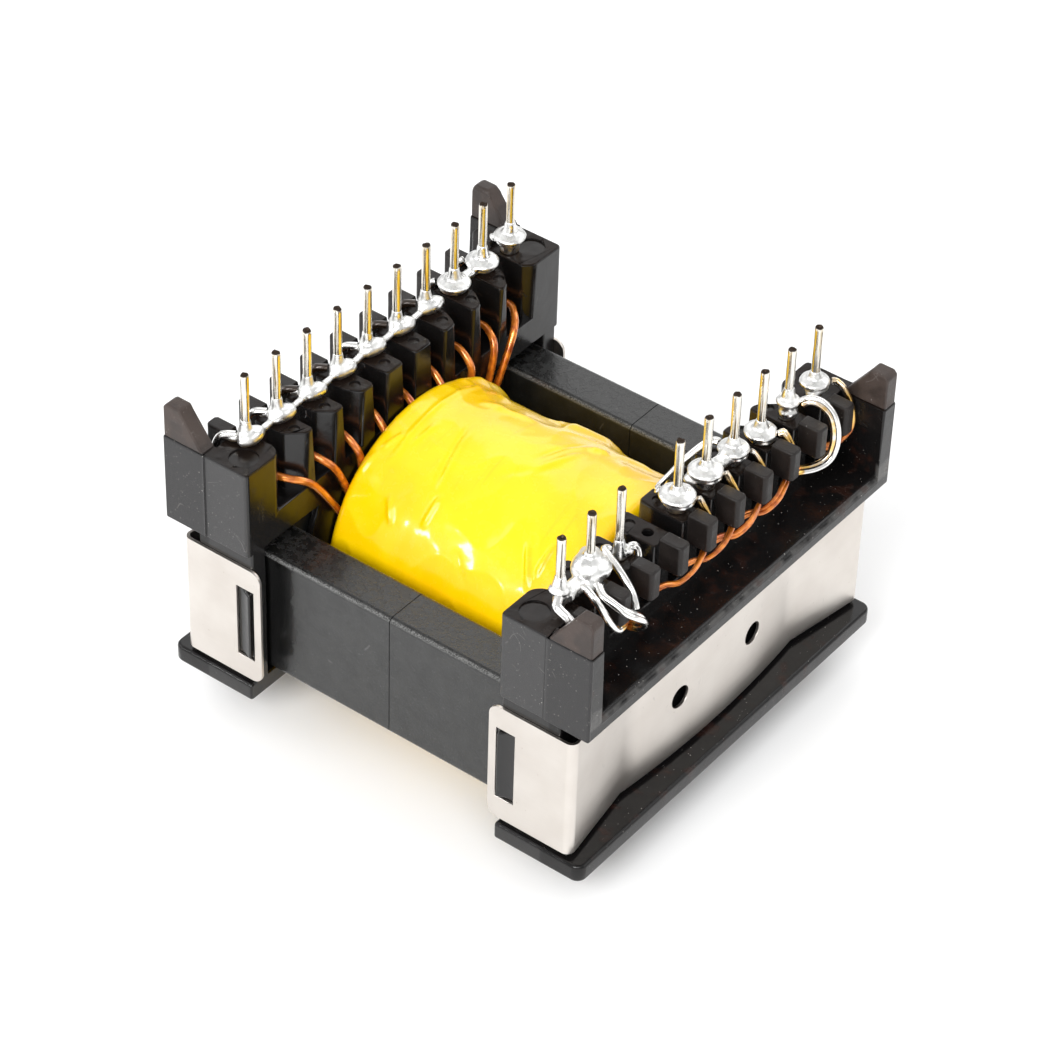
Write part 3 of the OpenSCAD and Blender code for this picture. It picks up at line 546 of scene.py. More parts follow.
def makeFormer():
    s = formerSet
    bm = mergedCopy("coil_former", s["top"], [side * x for x in s["marks"] for side in (-1, 1)])

    def blockCorner(e):  # upright corners at the inner ends of the pin blocks
        a, b = (v.co / mm for v in e.verts)
        upright = abs(a.x - b.x) < 0.01 and abs(a.y - b.y) < 0.01
        foot = s["blockFoot"] if abs(a.y) < s["endY"] else s["endFoot"]
        return upright and min(a.z, b.z) > foot and abs(a.x) < s["blockX"]

    def thumbEar(e):  # the far left ear is worn round
        a, b = (v.co / mm for v in e.verts)
        return min(a.z, b.z) > s["earFoot"] and min(a.y, b.y) > s["earY"] and max(a.x, b.x) < 0

    def lipEdge(e):
        a, b = (v.co / mm for v in e.verts)
        low, high = min(a.z, b.z), max(a.z, b.z)
        return high < s["lipTo"] and low > s["lipFrom"] and max(abs(a.x), abs(b.x)) > s["lipX"]

    roundEdges(bm, s["lip"], s["cornerSteps"], 60, lipEdge)
    corners = roundEdges(bm, s["corner"], s["cornerSteps"], 14, blockCorner)
    roundEdges(bm, s["ear"], s["cornerSteps"], 20, thumbEar)
    main = roundEdges(bm, s["main"], s["mainSteps"], 40)
    edges = roundEdges(bm, s["edge"], s["edgeSteps"], 40)
    print("former corners", corners, "main", main, "edges", edges)
    keepFlat(finishPiece("coilFormer", bm, plastic, ["coil_former"], 38))


makeFormer()

# core halves, sharp where they meet
coreSet = {"edge": 0.32, "edgeSteps": 3}
for coreSide in ("left", "right"):
    coreNode = "core_half_" + coreSide
    coreMesh = mergedCopy(coreNode)
    roundEdges(coreMesh, coreSet["edge"], coreSet["edgeSteps"], 40,
               lambda e: abs(e.verts[0].co.x + e.verts[1].co.x) > mm)
    keepFlat(finishPiece("ferriteHalf." + coreSide, coreMesh, ferrite, [coreNode], 38))

# spring clips
clipSet = {"edge": 0.07, "edgeSteps": 2}
for clipSide in ("left", "right"):
    clipMesh = mergedCopy("clip_" + clipSide)
    roundEdges(clipMesh, clipSet["edge"], clipSet["edgeSteps"], 40)
    keepFlat(finishPiece("springClip." + clipSide, clipMesh, steel, ["clip_" + clipSide], 30))
print("former, core and clips made")

# hidden layers keep their solids


def layerMaterials(name, material):
    nodes[name].data.materials.clear()
    nodes[name].data.materials.append(material)


for layerName in ("inner_primary_winding", "secondary_winding", "outer_primary_winding"):
    layerMaterials(layerName, coilCopper)
for layerName in ("inner_insulation", "outer_insulation"):
    layerMaterials(layerName, film)

# outer tape: a wrapped film with folds, in millimetres around the winding axis
tapeSet = {
    "axisZ": 16.2, "half": 15.5, "outer": 15.75, "inner": 14.15, "shoulder": 1.2, "swell": 1.5,
    "swellAngle": 138.0, "swellBlend": 0.02, "steps": 460, "flat": 160, "wave": 0.2, "ripple": 0.35,
    "crinkle": 0.12, "crinkleSharp": 6, "deepest": 0.34,
    # how often the noise changes along and around the coil, and its shift
    "waveNoise": (0.16, 2.2), "rippleNoise": (0.5, 6, 0, 9), "crinkleNoise": (0.22, 3.4, 4),
}
tapeFolds = [  # from x and angle, to x and angle, height and half width of each fold
    (-12.0, 128.0, -12.4, 55.0, 0.2, 0.4), (-7.6, 93.0, -5.6, 127.0, -0.2, 0.3),
    (-6.8, 93.0, -4.8, 127.0, 0.14, 0.45), (-4.3, 125.5, -4.6, 140.0, 0.34, 0.32),
    (-10.0, 134.5, -8.2, 144.5, 0.32, 0.32), (-11.2, 116.0, -10.2, 100.0, 0.16, 0.35),
    (7.5, 126.0, 10.2, 142.0, 0.34, 0.28), (10.4, 122.0, 10.3, 137.5, 0.3, 0.26),
    (-9.8, 79.0, -2.6, 71.5, 0.32, 0.7), (-9.0, 66.0, -1.0, 61.0, -0.7, 1.8),
    (1.4, 98.0, 3.6, 70.0, -0.16, 0.35), (4.4, 74.5, 6.4, 69.0, 0.34, 0.6),
    (2.2, 105.0, 5.2, 77.0, 0.2, 0.5), (7.0, 67.0, 13.5, 62.0, -0.5, 1.3),
    (-1.0, 112.0, 6.0, 90.0, -0.12, 0.5), (-13.8, 121.0, -12.6, 111.0, 0.26, 0.32),
    (0.0, 140.0, 3.0, 152.0, -0.1, 0.4), (-14.6, 133.0, -14.0, 122.0, 0.2, 0.3),
    (-13.6, 47.0, -3.2, 45.0, -0.9, 3.2), (-14.2, 72.0, -14.2, 20.0, 0.5, 0.9),
    (3.4, 46.0, 12.0, 45.0, -0.65, 2.4), (-2.4, 60.0, 3.6, 40.0, 0.55, 1.6),
    (-12.6, 52.0, -9.0, 66.0, 0.22, 0.5), (14.2, 70.0, 14.2, 25.0, 0.35, 1.2),
]


def tapeProfile():  # (x, radius below the outer face) from one inner edge over the top to the other
    s = tapeSet
    r = s["shoulder"]
    side = [(s["half"], s["outer"] - s["inner"]), (s["half"], (s["outer"] - s["inner"] + r) / 2)]
    for k in range(7):
        a = math.radians(15 * k)
        side.append((s["half"] - r + r * math.cos(a), r - r * math.sin(a)))
    top = [(s["half"] - r - (2 * (s["half"] - r)) * k / s["flat"], 0.0) for k in range(1, s["flat"])]
    return [(-x, d) for x, d in side] + [(-x, d) for x, d in top] + [(x, d) for x, d in reversed(side)]


def tapeRadius(angle):
    s = tapeSet
    lean = math.cos(angle - math.radians(s["swellAngle"])) * s["swell"]
    far = lean + math.sqrt(s["outer"] ** 2 - s["swell"] ** 2 + lean * lean)
    gap = far - s["outer"]
    return s["outer"] + (gap + math.sqrt(gap * gap + s["swellBlend"])) / 2


def foldHeight(x, turn):
    reach = tapeSet["outer"] * math.radians(1)
    total = 0.0
    for x0, a0, x1, a1, height, width in tapeFolds:
        p, a, b = Vector((x, turn * reach)), Vector((x0, a0 * reach)), Vector((x1, a1 * reach))
        t = max(0.0, min(1.0, (p - a).dot(b - a) / (b - a).length_squared))
        fade = min(1.0, 4 * t, 4 * (1 - t)) if 0 < t < 1 else 0.0  # over the outer quarters
        away = (p - a - (b - a) * t).length / width
        if away < 3:
            total += height * fade * math.exp(-away * away)
    return total


def tapeNoise(x, angle, along, around, shiftX=0, shiftZ=0):
    place = (x * along + shiftX, math.cos(angle) * around, math.sin(angle) * around + shiftZ)
    return noise.noise(Vector(place))


def makeTape():
    s = tapeSet
    profile = tapeProfile()
    bm = bmesh.new()
    bmesh.ops.create_grid(bm, x_segments=len(profile) - 1, y_segments=s["steps"], size=0.5)
    for v in bm.verts:
        k = round((v.co.x + 0.5) * (len(profile) - 1))
        angle = (v.co.y + 0.5) * 2 * math.pi
        x, drop = profile[k]
        share = 1.0 - min(1.0, drop / s["shoulder"])
        wave = tapeNoise(x, angle, *s["waveNoise"]) * s["wave"]
        wave += tapeNoise(x, angle, *s["rippleNoise"]) * s["wave"] * s["ripple"]
        crinkle = 1.0 - abs(tapeNoise(x, angle, *s["crinkleNoise"]))
        rise = wave + s["crinkle"] * crinkle ** s["crinkleSharp"] + foldHeight(x, math.degrees(angle))
        if rise < 0:  # stays above the winding
            rise = s["deepest"] * math.tanh(rise / s["deepest"])
        r = tapeRadius(angle) - drop + share * rise
        v.co = Vector((x, r * math.cos(angle), s["axisZ"] + r * math.sin(angle))) * mm
    bmesh.ops.remove_doubles(bm, verts=bm.verts[:], dist=0.001 * mm)
    bmesh.ops.recalc_face_normals(bm, faces=bm.faces[:])
    return finishPiece("tapeWrap", bm, film, ["outer_tape"])


makeTape()
print("tape made")

# places shared by pins, wires and solder, in millimetres as in the part's source
rowSet = {
    "pitch": 5.08, "pinX": 21.0, "blockZ": 36.8, "blockX": 23.0, "slotRun": 31.5, "underPeg": 33.15,
    "windingR": 14.05, "gap": 0.1, "lump": (-20.7, 0.1, 37.95), "lumpR": 1.4,
}
# number in the row, radius, lift over the block and height of each joint
leftDiscs = [(8, 2.0, 0.4, 2.9), (9, 2.0, 0.6, 3.0), (10, 1.95, 1.3, 2.8)]
nearDiscs = [(1, 1.2, 1.6, 2.6), (2, 2.15, 0.7, 3.5), (3, 1.1, 0.4, 2.2)]
middleDiscs = [(5, 2.1, 1.1, 2.2), (6, 2.0, 1.3, 2.3), (7, 1.8, 1.1, 2.4)]
farDiscs = [(8, 1.9, 0.3, 2.4), (9, 1.4, 1.5, 2.6), (10, 1.75, 1.1, 2.2)]


def pinY(i):
    return (i - 5.5) * rowSet["pitch"]


def slotY(i):
    return pinY(i) + rowSet["pitch"] / 2


# pins
pinSet = {
    "steps": 20, "uneven": 0.05, "lean": 0.25, "tipFrom": 45.3, "tipOver": 0.5, "tipDrop": 0.12,
    "tipRough": 0.15, "missing": 14,
    "outline": [  # radius and height, from the foot to the middle of the cut tip
        (0.0, 29.8), (0.46, 29.8), (0.48, 36.0), (0.49, 38.0), (0.5, 39.5), (0.49, 41.0), (0.5, 42.5),
        (0.495, 44.0), (0.5, 45.4), (0.49, 45.9), (0.42, 46.05), (0.3, 46.0), (0.18, 45.9), (0.0, 45.86),
    ],
}


def makePin(number):
    s = pinSet
    side, i = (-1, number) if number <= 10 else (1, number - 10)
    bm = bmesh.new()
    cut = bm.verts.layers.float.new("cut")
    line = [bm.verts.new((r, 0, z)) for r, z in s["outline"]]
    for v in line[-4:]:  # the cut tip
        v[cut] = 1.0
    edges = [bm.edges.new(pair) for pair in zip(line, line[1:])]
    bmesh.ops.spin(bm, geom=line + edges, cent=(0, 0, 0), axis=(0, 0, 1), angle=2 * math.pi,
                   steps=s["steps"], use_merge=True)
    bmesh.ops.remove_doubles(bm, verts=bm.verts[:], dist=0.001)
    bmesh.ops.recalc_face_normals(bm, faces=bm.faces[:])
    lean = noise.noise(Vector((number * 1.7, 0.3, 0.1))) * s["lean"]
    for v in bm.verts:
        swell = 1 + s["uneven"] * noise.noise(Vector((v.co.x * 2 + number, v.co.y * 2, v.co.z * 0.9)))
        high = max(0.0, min(1.0, (v.co.z - s["tipFrom"]) / s["tipOver"]))
        ragged = s["tipRough"] * noise.noise(Vector((v.co.x * 3, v.co.y * 3, number)))
        v.co.z -= high * max(0.0, s["tipDrop"] + lean * v.co.x + ragged)
        v.co.x *= swell
        v.co.y *= swell
        v.co = (v.co + Vector((side * rowSet["pinX"], pinY(i), 0))) * mm
    return finishPiece("boardPin.%02d" % number, bm, pinMetal, ["pin_%02d" % number], 50)


for number in range(1, 21):
    if number != pinSet["missing"]:
        makePin(number)
print("pins made")

# wires: strands twisted along the same routes as the solids


def offWinding(side, d, y0, ys, z):  # up the end of the winding and over the flange into a slot
    x0, r0 = tapeSet["half"] + d / 2 + rowSet["gap"], rowSet["windingR"] + d / 2 + rowSet["gap"]
    z0 = tapeSet["axisZ"] + math.sqrt(r0 * r0 - y0 * y0)
    return [
        (side * x0, y0, z0), (side * (x0 + 0.1), 0.4 * y0 + 0.6 * ys, max(z - 1.6, z0)),
        (side * 17.9, 0.08 * y0 + 0.92 * ys, max(z, z0 - 0.4)), (side * 19.6, ys, z + 0.1),
    ]


def atDisc(side, disc, p):
    c = Vector((side * rowSet["pinX"], pinY(disc[0]), rowSet["blockZ"] + disc[2] + 0.6))
    v = Vector((p[0] - c.x, p[1] - c.y, 0))
    return tuple(c + (disc[1] + rowSet["gap"]) * v.normalized())


def atLump(i, p):
    x, shift, z = rowSet["lump"]
    c = Vector((x, pinY(i) + shift, z))
    return tuple(c + rowSet["lumpR"] * (Vector(p) - c).normalized())


def pickDisc(discs, i):
    return [d for d in discs if d[0] == i][0]


leftStarts = (-12.9, -11.6, -9.5, -5.5, -1.1, 4.4, 9.5, 12.3, 13.2)  # where they leave the winding


def leftRoute(i):
    ys, y, x, under, run = slotY(i), pinY(i), rowSet["blockX"], rowSet["underPeg"], rowSet["slotRun"]
    yn = y - 1.475
    last = (-x - 0.2, yn + 0.2, 37.55)
    return offWinding(-1, 0.95, leftStarts[i - 1], ys, run) + [
        (-x - 0.1, ys, run), (-x - 1, ys - 0.8, run + 0.4), (-x - 1.4, y + 0.1, under),
        (-x - 1.4, y - 0.7, under - 0.05), (-x - 1.3, yn + 0.23, under + 0.2), (-x - 1.2, yn, under + 0.8),
        (-x - 1.1, yn, under + 1.7), (-x - 0.95, yn, 36.3),
        last, atLump(i, last) if i <= 7 else atDisc(-1, pickDisc(leftDiscs, i), last),
    ]


def rightRoute(i):
    ys, y, x, under, run = slotY(i - 2), pinY(i), rowSet["blockX"], rowSet["underPeg"], rowSet["slotRun"]
    before, yf = pinY(i - 1), y + 1.45
    last = (x + 0.2, yf - 0.1, 37.9)
    return offWinding(1, 0.9, 0.64 * ys, ys, run) + [
        (x, ys, run), (x + 1.3, before - 1, under - 1.1), (x + 2.3, before + 0.2, under - 1),
        (x + 2.6, before + 2.2, under - 0.5), (x + 2.2, y - 1, under - 0.05),
        (x + 1.7, y + 0.3, under - 0.05), (x + 1.65, yf - 0.1, under + 0.15),
        (x + 1.6, yf + 0.05, under + 1.1), (x + 1.2, yf, 36.35), last,
        atDisc(1, pickDisc(middleDiscs + farDiscs, i), last),
    ]


loopRoutes = {
    "lead_11": [
        (22.8, -20.4, 32.4), (24.2, -21.1, 32.4), (25, -22.3, 32.5), (25.2, -23.4, 32.5),
        (25.2, -24.2, 32.9), (25.2, -24.5, 33.8), (25.1, -24.6, 35.2), (24.5, -24.6, 36.8),
        (23.4, -24.8, 37.9), (22.2, -24.8, 38.6),
    ],
    "strand_11_12": [
        (23, -15.3, 33), (24.4, -15.9, 32.9), (25.1, -17, 32.7), (25.2, -18.3, 32.8), (25.1, -19.4, 34.4),
        (24.6, -20.2, 36.4), (23.8, -20.5, 37.6), (22.8, -20.4, 38.2), (22.1, -20.3, 38.4),
    ],
    "lead_12": [
        (23.2, -15.2, 31), (25.2, -15, 31.2), (26.6, -15.6, 32.6), (27.3, -16.8, 34.4), (27.3, -18.1, 35.7),
        (26.6, -19, 36.5), (25.4, -19.4, 37.2), (24, -19.5, 37.7),
    ],
    "lead_13": [
        (20, -10.2, 33.4), (21.3, -10.3, 34.2), (22, -10.6, 35.8), (22, -10.7, 37), (21.9, -11.2, 37.8),
    ],
    "lead_19": [
        (23, 15.2, 31.8), (24.4, 15.9, 32.2), (25.4, 17.6, 32.2), (26, 19, 32.8), (26.2, 19.7, 34.4),
        (26, 19.9, 36.4), (25.2, 19.8, 38.2), (24, 19.4, 39.2), (23, 18.8, 39.4),
    ],
    "lead_20": [
        (23, 20.4, 31.8), (24.4, 21.2, 32.3), (25, 22.6, 32.5), (25.2, 24.1, 33), (25.2, 24.6, 34.4),
        (24.8, 24.6, 36.2), (23.8, 24.6, 37.8), (22.8, 24.5, 38.4),
    ],
    "strand_12_13": [
        (20.4, -13.7, 38.2), (20.3, -14.3, 38.5), (21, -14.8, 38.5), (23.2, -15.6, 38), (25, -16.1, 36.9),
        (25.8, -16.4, 35.8), (26.1, -16.5, 35.1),
    ],
    "strand_15_17": [
        (18.4, -2.6, 38), (17.8, -0.8, 37.6), (17.6, 2.4, 37.8), (17.6, 5, 37.9), (17.8, 7, 38),
        (18.4, 7.7, 38.3),
    ],
}


def fullRoute(name):
    if name == "strand_12_13":
        return loopRoutes[name]
    if name == "strand_15_17":
        points = loopRoutes[name]
        return [atDisc(1, middleDiscs[0], points[0])] + points + [atDisc(1, middleDiscs[2], points[-1])]
    d, y0, slot, rise, end = {
        "lead_11": (1.2, -12.6, 1, 0.0, nearDiscs[0]), "lead_12": (1.2, -10.8, 2, -0.4, nearDiscs[1]),
        "lead_13": (0.9, -5.0, 3, 1.4, nearDiscs[2]), "lead_19": (1.2, 9.6, 8, 0.0, farDiscs[1]),
        "lead_20": (1.1, 12.3, 9, 0.0, farDiscs[2]), "strand_11_12": (0.9, -8.7, 2, 1.4, None),
    }[name]
    route = offWinding(1, d, y0, slotY(slot), rowSet["slotRun"] + rise) + loopRoutes[name]
    return route + [atDisc(1, end, route[-1])] if end else route


def smoothPath(points, steps):
    p = [Vector(q) for q in points]
    path = []
    for i in range(len(p) - 1):
        a, b, c, d = p[max(i - 1, 0)], p[i], p[i + 1], p[min(i + 2, len(p) - 1)]
        square, cube = 2 * a - 5 * b + 4 * c - d, 3 * b - a - 3 * c + d
        for k in range(steps):
            t = k / steps
            path.append(0.5 * (2 * b + (c - a) * t + square * t * t + cube * t ** 3))
    return path + [p[-1]]


strandSet = {
    "sides": 20, "pathSteps": 5, "single": {1: 0.48, 2: 0.3}, "loose": 0.2, "flute": 0.035, "flutes": 7,
    "golden": ("lead_19", "lead_20"), "lessTin": 0.42,  # their second strand took less tin
}


def wireFrames(path):  # each point with two directions across the wire
    across = Vector((0.31, 0.47, 0.83))
    frames = []
    for i, p in enumerate(path):
        ahead = (path[min(i + 1, len(path) - 1)] - path[max(i - 1, 0)]).normalized()
        across = (across - ahead * across.dot(ahead)).normalized()
        frames.append((p, across.copy(), ahead.cross(across)))
    return frames


def nextRing(bm, rim, turns):  # a further ring, each vertex with its angle around the strand
    fresh = bmesh.ops.extrude_edge_only(bm, edges=rim)["geom"]
    ring = [g for g in fresh if isinstance(g, bmesh.types.BMVert)]
    edges = [g for g in fresh if isinstance(g, bmesh.types.BMEdge)]
    turned = {v: turns[o] for v in ring for o in (e.other_vert(v) for e in v.link_edges) if o in turns}
    return [e for e in edges if all(v in turned for v in e.verts)], turned


def makeWire(name, node, points, look):
    s = strandSet
    thick, strands, twist, tinFrom, tinTo, end = look
    path = smoothPath(points, s["pathSteps"])
    length = [0.0]
    for a, b in zip(path, path[1:]):
        length.append(length[-1] + (b - a).length)
    single = s["single"][strands] * thick
    spread = thick / 2 - single
    bm = bmesh.new()
    tin = bm.verts.layers.float.new("tin")
    frames = wireFrames(path)
    for k in range(strands):
        first = bmesh.ops.create_circle(bm, cap_ends=True, segments=s["sides"], radius=1.0)["verts"]
        turns = {v: math.atan2(v.co.y, v.co.x) for v in first}
        rim = list({e for v in first for e in v.link_edges})
        tinned = end * (1 - s["lessTin"] * k * (node in s["golden"]))
        for i, (p, side, other) in enumerate(frames):
            if i:
                rim, turns = nextRing(bm, rim, turns)
            a = 2 * math.pi * k / strands + twist * length[i]
            loose = 1 + s["loose"] * noise.noise(p * 0.35 + Vector((k * 7.0, 0, 0)))
            centre = p + spread * loose * (math.cos(a) * side + math.sin(a) * other)
            fromEnd = length[-1] - length[i]
            share = max(0.0, min(1.0, (tinFrom - fromEnd) / (tinFrom - tinTo)))
            for v, b in turns.items():
                wave = math.cos(s["flutes"] * b + 0.4 * length[i])
                r = single * (1 - (s["flute"] + s["flute"] * wave))
                v.co = (centre + r * (math.cos(b) * side + math.sin(b) * other)) * mm
                v[tin] = tinned * share
        bmesh.ops.edgeloop_fill(bm, edges=rim)
    bmesh.ops.recalc_face_normals(bm, faces=bm.faces[:])
    finishPiece(name, bm, enamel, [node], 60)
    return length[-1]


# thickness, strands, twist per millimetre, how far before the tip its end starts and is full,
# and 1 for an end that is tinned or -1 for one that is burnt
wireSet = {
    "left": (0.95, 1, 0.0, 7.5, 5.5, 1), "leftBurnt": (0.95, 1, 0.0, 10.0, 7.0, -1),
    "right": (0.9, 2, 0.11, 5.5, -3.0, 1),
    "lead_11": (1.2, 1, 0.0, 13.0, 10.5, 1), "lead_12": (1.2, 2, 0.05, 12.5, 10.5, 1),
    "lead_13": (0.9, 2, 0.2, 6.0, 4.0, 1), "lead_19": (1.2, 2, 0.06, 14.0, 12.0, 1),
    "lead_20": (1.1, 2, 0.12, 10.0, 2.0, 1), "strand_11_12": (0.9, 1, 0.0, 9.0, 7.5, 1),
    "strand_12_13": (0.9, 1, 0.0, 40.0, 30.0, 1), "strand_15_17": (0.9, 2, 0.2, 40.0, 30.0, 1),
}
burntLeads = (3, 4, 6, 7)
tinnedWires = (
    "lead_11", "lead_12", "lead_13", "lead_19", "lead_20", "strand_11_12", "strand_12_13", "strand_15_17",
)
wireLengths = {}
for i in range(1, 10):
    node, name = "lead_%02d" % i, "leadWire.%02d" % i
    look = wireSet["leftBurnt" if i in burntLeads else "left"]
    wireLengths[node] = makeWire(name, node, leftRoute(i), look)
for i in range(5, 9):
    node, name = "lead_%02d" % (i + 10), "leadWire.%02d" % (i + 10)
    wireLengths[node] = makeWire(name, node, rightRoute(i), wireSet["right"])
for node in tinnedWires:
    name = node.replace("_", ".") + ".wire"
    wireLengths[node] = makeWire(name, node, fullRoute(node), wireSet[node])
print("wires made", {k: round(v, 1) for k, v in wireLengths.items()})

# solder: lumps and cones that run together
solderSet = {"voxel": 0.12, "smooth": 12, "rough": 0.16, "grainSize": 1.3}
solderNoise = bpy.data.textures.new("solderNoise", "CLOUDS")
solderNoise.noise_scale = solderSet["grainSize"] * mm
solderNoise.noise_depth = 2


def lump(bm, centre, radii, turn=0.0, tilt=0.0):
    spot = Matrix.Translation(centre) @ Matrix.Rotation(math.radians(turn), 4, "Z")
    spot = spot @ Matrix.Rotation(math.radians(tilt), 4, "X") @ Matrix.Diagonal((*radii, 1))
    bmesh.ops.create_icosphere(bm, subdivisions=3, radius=1.0, matrix=spot)


def cone(bm, foot, low, high, height):
    spot = Matrix.Translation(Vector(foot) + Vector((0, 0, height / 2)))
    bmesh.ops.create_cone(bm, cap_ends=True, segments=24, radius1=low, radius2=high, depth=height,
                          matrix=spot)


def bar(bm, a, b, r):
    a, b = Vector(a), Vector(b)
    spot = Matrix.Translation((a + b) / 2) @ (b - a).to_track_quat("Z", "Y").to_matrix().to_4x4()
    bmesh.ops.create_cone(bm, cap_ends=True, segments=16, radius1=r, radius2=r, depth=(b - a).length,
                          matrix=spot)


def collar(bm, side, disc, flat=0.62):  # wraps of wire, a disc of solder and a cone up the pin
    i, r, lift, tall = disc
    x, y, z = side * rowSet["pinX"], pinY(i), rowSet["blockZ"] + lift
    lump(bm, (x, y, z + 0.75), (r, r, flat))
    lump(bm, (x + 0.15 * side, y + 0.1, z + 0.1), (r - 0.25, r - 0.25, 0.5))
    cone(bm, (x, y, z + 0.9), r * 0.62, 0.78, 0.65)
    cone(bm, (x, y, z + 1.45), 0.8, 0.56, tall - 1.45)
    if lift > 0.6:
        cone(bm, (x, y, rowSet["blockZ"]), r * 0.55, r * 0.62, lift)


def finishSolder(name, bm, replaced):
    bmesh.ops.scale(bm, vec=(mm, mm, mm), verts=bm.verts[:])
    piece = finishPiece(name, bm, solder, [replaced])
    remesh = piece.modifiers.new("runTogether", "REMESH")
    remesh.mode = "VOXEL"
    remesh.voxel_size = solderSet["voxel"] * mm
    remesh.use_smooth_shade = True
    soft = piece.modifiers.new("soften", "SMOOTH")
    soft.factor = 0.5
    soft.iterations = solderSet["smooth"]
    uneven = piece.modifiers.new("uneven", "DISPLACE")
    uneven.texture = solderNoise
    uneven.texture_coords = "LOCAL"
    uneven.strength = solderSet["rough"] * mm
    uneven.mid_level = 0.5
    return piece


def makeBus():
    bm = bmesh.new()
    for i in range(1, 8):
        y = pinY(i)
        sway = noise.noise(Vector((i * 2.3, 0.5, 0.5)))
        lump(bm, (-20.5, y + 0.3, 37.75), (1.05, 1.85, 1.0), -12 + 14 * sway, 6 * sway)
        lump(bm, (-20.9, y - 0.2, 38.0), (0.95, 1.05, 0.8), 20)
        cone(bm, (-21, y, 38.3), 0.95, 0.68, 0.7)
        cone(bm, (-21, y, 38.9), 0.7, 0.54, 1.1)
        if i < 7:
            bar(bm, (-20.4, y + 1.4, 37.6), (-20.75, y + 3.9, 37.5), 0.42)
    bar(bm, (-21.3, pinY(1) - 0.3, 37.4), (-23.9, pinY(1) - 1.4, 37.2), 0.38)
    lump(bm, (-22.1, pinY(1) - 0.6, 37.4), (1.3, 0.6, 0.5), 22)
    for i in (2, 3, 5):
        bar(bm, (-21.4, pinY(i) - 0.5, 37.6), (-22.6, pinY(i) - 0.9, 37.5), 0.42)
    return finishSolder("solderBus.left", bm, "solder_left_bus")


def makeEnd():
    bm = bmesh.new()
    for disc in leftDiscs:
        collar(bm, -1, disc)
    bar(bm, (-21, pinY(8), 37.6), (-21, pinY(9), 37.6), 0.6)
    lump(bm, (-22.6, pinY(10) - 0.5, 38.1), (0.9, 0.6, 0.5))
    return finishSolder("solderJoints.leftEnd", bm, "solder_left_end")


def makeNear():
    bm = bmesh.new()
    collar(bm, 1, nearDiscs[0], 0.5)
    y1, y2, y3 = pinY(1), pinY(2), pinY(3)
    lump(bm, (21.1, y2 - 0.1, 38.8), (2.05, 2.1, 1.7))
    lump(bm, (21.6, y2 - 1.1, 38.0), (1.4, 1.4, 1.1))
    lump(bm, (20.5, y2 + 0.7, 39.5), (1.3, 1.3, 1.0))
    lump(bm, (22.2, y2 + 0.6, 38.9), (1.0, 1.3, 1.1), 30)
    cone(bm, (21, y2, 39.4), 1.25, 0.6, 1.5)
    bar(bm, (21.2, y1 + 0.6, 38.0), (21.3, y2, 38.0), 1.0)
    cone(bm, (21, y3, 36.8), 0.95, 0.7, 1.2)
    cone(bm, (21, y3, 37.9), 0.72, 0.55, 1.4)
    lump(bm, (21.3, y3 + 0.9, 37.3), (0.9, 0.75, 0.55))
    return finishSolder("solderJoints.rightNear", bm, "solder_right_near")


def makeMiddle():
    bm = bmesh.new()
    for disc in middleDiscs:
        collar(bm, 1, disc)
    bar(bm, (21, pinY(6), 38.2), (21, pinY(7), 38.2), 0.85)
    lump(bm, (20.2, pinY(6) - 1.4, 38.1), (0.9, 0.9, 0.6))
    return finishSolder("solderJoints.rightMiddle", bm, "solder_right_middle")


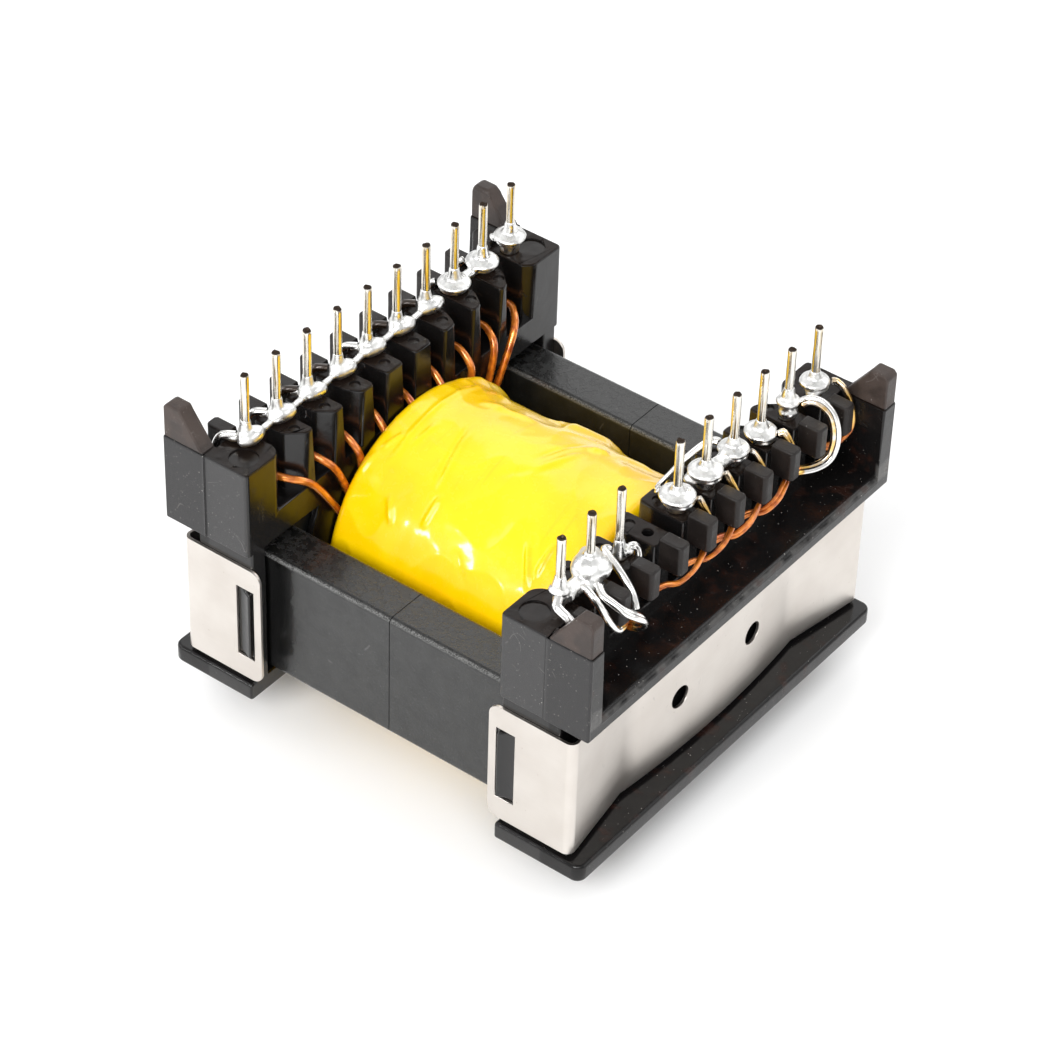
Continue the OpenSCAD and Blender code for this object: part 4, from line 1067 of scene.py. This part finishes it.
def makeFar():
    bm = bmesh.new()
    collar(bm, 1, farDiscs[0])
    y9, y10 = pinY(9), pinY(10)
    lump(bm, (21, y9, 39.0), (1.38, 1.38, 0.6))
    lump(bm, (21.1, y9, 37.6), (1.15, 1.15, 0.75))
    cone(bm, (21, y9, 36.8), 1.0, 0.95, 1.6)
    cone(bm, (21, y9, 39.2), 0.85, 0.56, 1.6)
    collar(bm, 1, farDiscs[2])
    lump(bm, (21.5, y10 - 1.0, 37.7), (0.8, 0.7, 0.7))
    return finishSolder("solderJoints.rightFar", bm, "solder_right_far")


for make in (makeBus, makeEnd, makeNear, makeMiddle, makeFar):
    make()
print("solder made")

# floor and light
stageSet = {"floor": 0.95, "floorSize": 4.0, "world": 0.64, "aim": (0, 0, 0.02)}
lampSet = {  # place, size and power
    "key": ((0.08, -0.58, 0.46), 0.36, 3.3), "front": ((0.38, -0.42, 0.55), 0.4, 1.5),
    "right": ((0.55, 0.32, 0.4), 0.4, 0.58), "top": ((-0.28, 0.12, 0.52), 0.55, 0.2),
    "back": ((-0.32, 0.45, 0.42), 0.5, 0.6), "far": ((0.12, 0.6, 0.5), 0.4, 0.8),
    "side": ((-0.52, -0.26, 0.34), 0.4, 0.8),
    "glint": ((-0.375, -0.56, 0.315), 0.055, 0.32),  # small, for glints on the film
}


def addLamp(name, place, size, power):
    lamp = bpy.data.lights.new(name, "AREA")
    lamp.shape = "DISK"
    lamp.size = size
    lamp.energy = power
    holder = bpy.data.objects.new(name, lamp)
    holder.location = place
    holder.rotation_euler = (Vector(stageSet["aim"]) - Vector(place)).to_track_quat("-Z", "Y").to_euler()
    scene.collection.objects.link(holder)


def makeStage():
    bm = bmesh.new()
    bmesh.ops.create_grid(bm, x_segments=4, y_segments=4, size=stageSet["floorSize"])
    mesh = bpy.data.meshes.new("floor")
    bm.to_mesh(mesh)
    bm.free()
    level = stageSet["floor"]
    material = newMaterial("paleFloor", Base_Color=(level, level, level, 1), Roughness=0.7)[0]
    mesh.materials.append(material)
    floor = bpy.data.objects.new("floor", mesh)
    scene.collection.objects.link(floor)
    world = bpy.data.worlds.new("studio")
    world.use_nodes = True
    light = world.node_tree.nodes["Background"].inputs
    light["Color"].default_value = (1, 1, 1, 1)
    light["Strength"].default_value = stageSet["world"]
    scene.world = world
    for name, (place, size, power) in lampSet.items():
        addLamp(name + "Lamp", place, size, power)
    scene.view_settings.view_transform = "Standard"


makeStage()
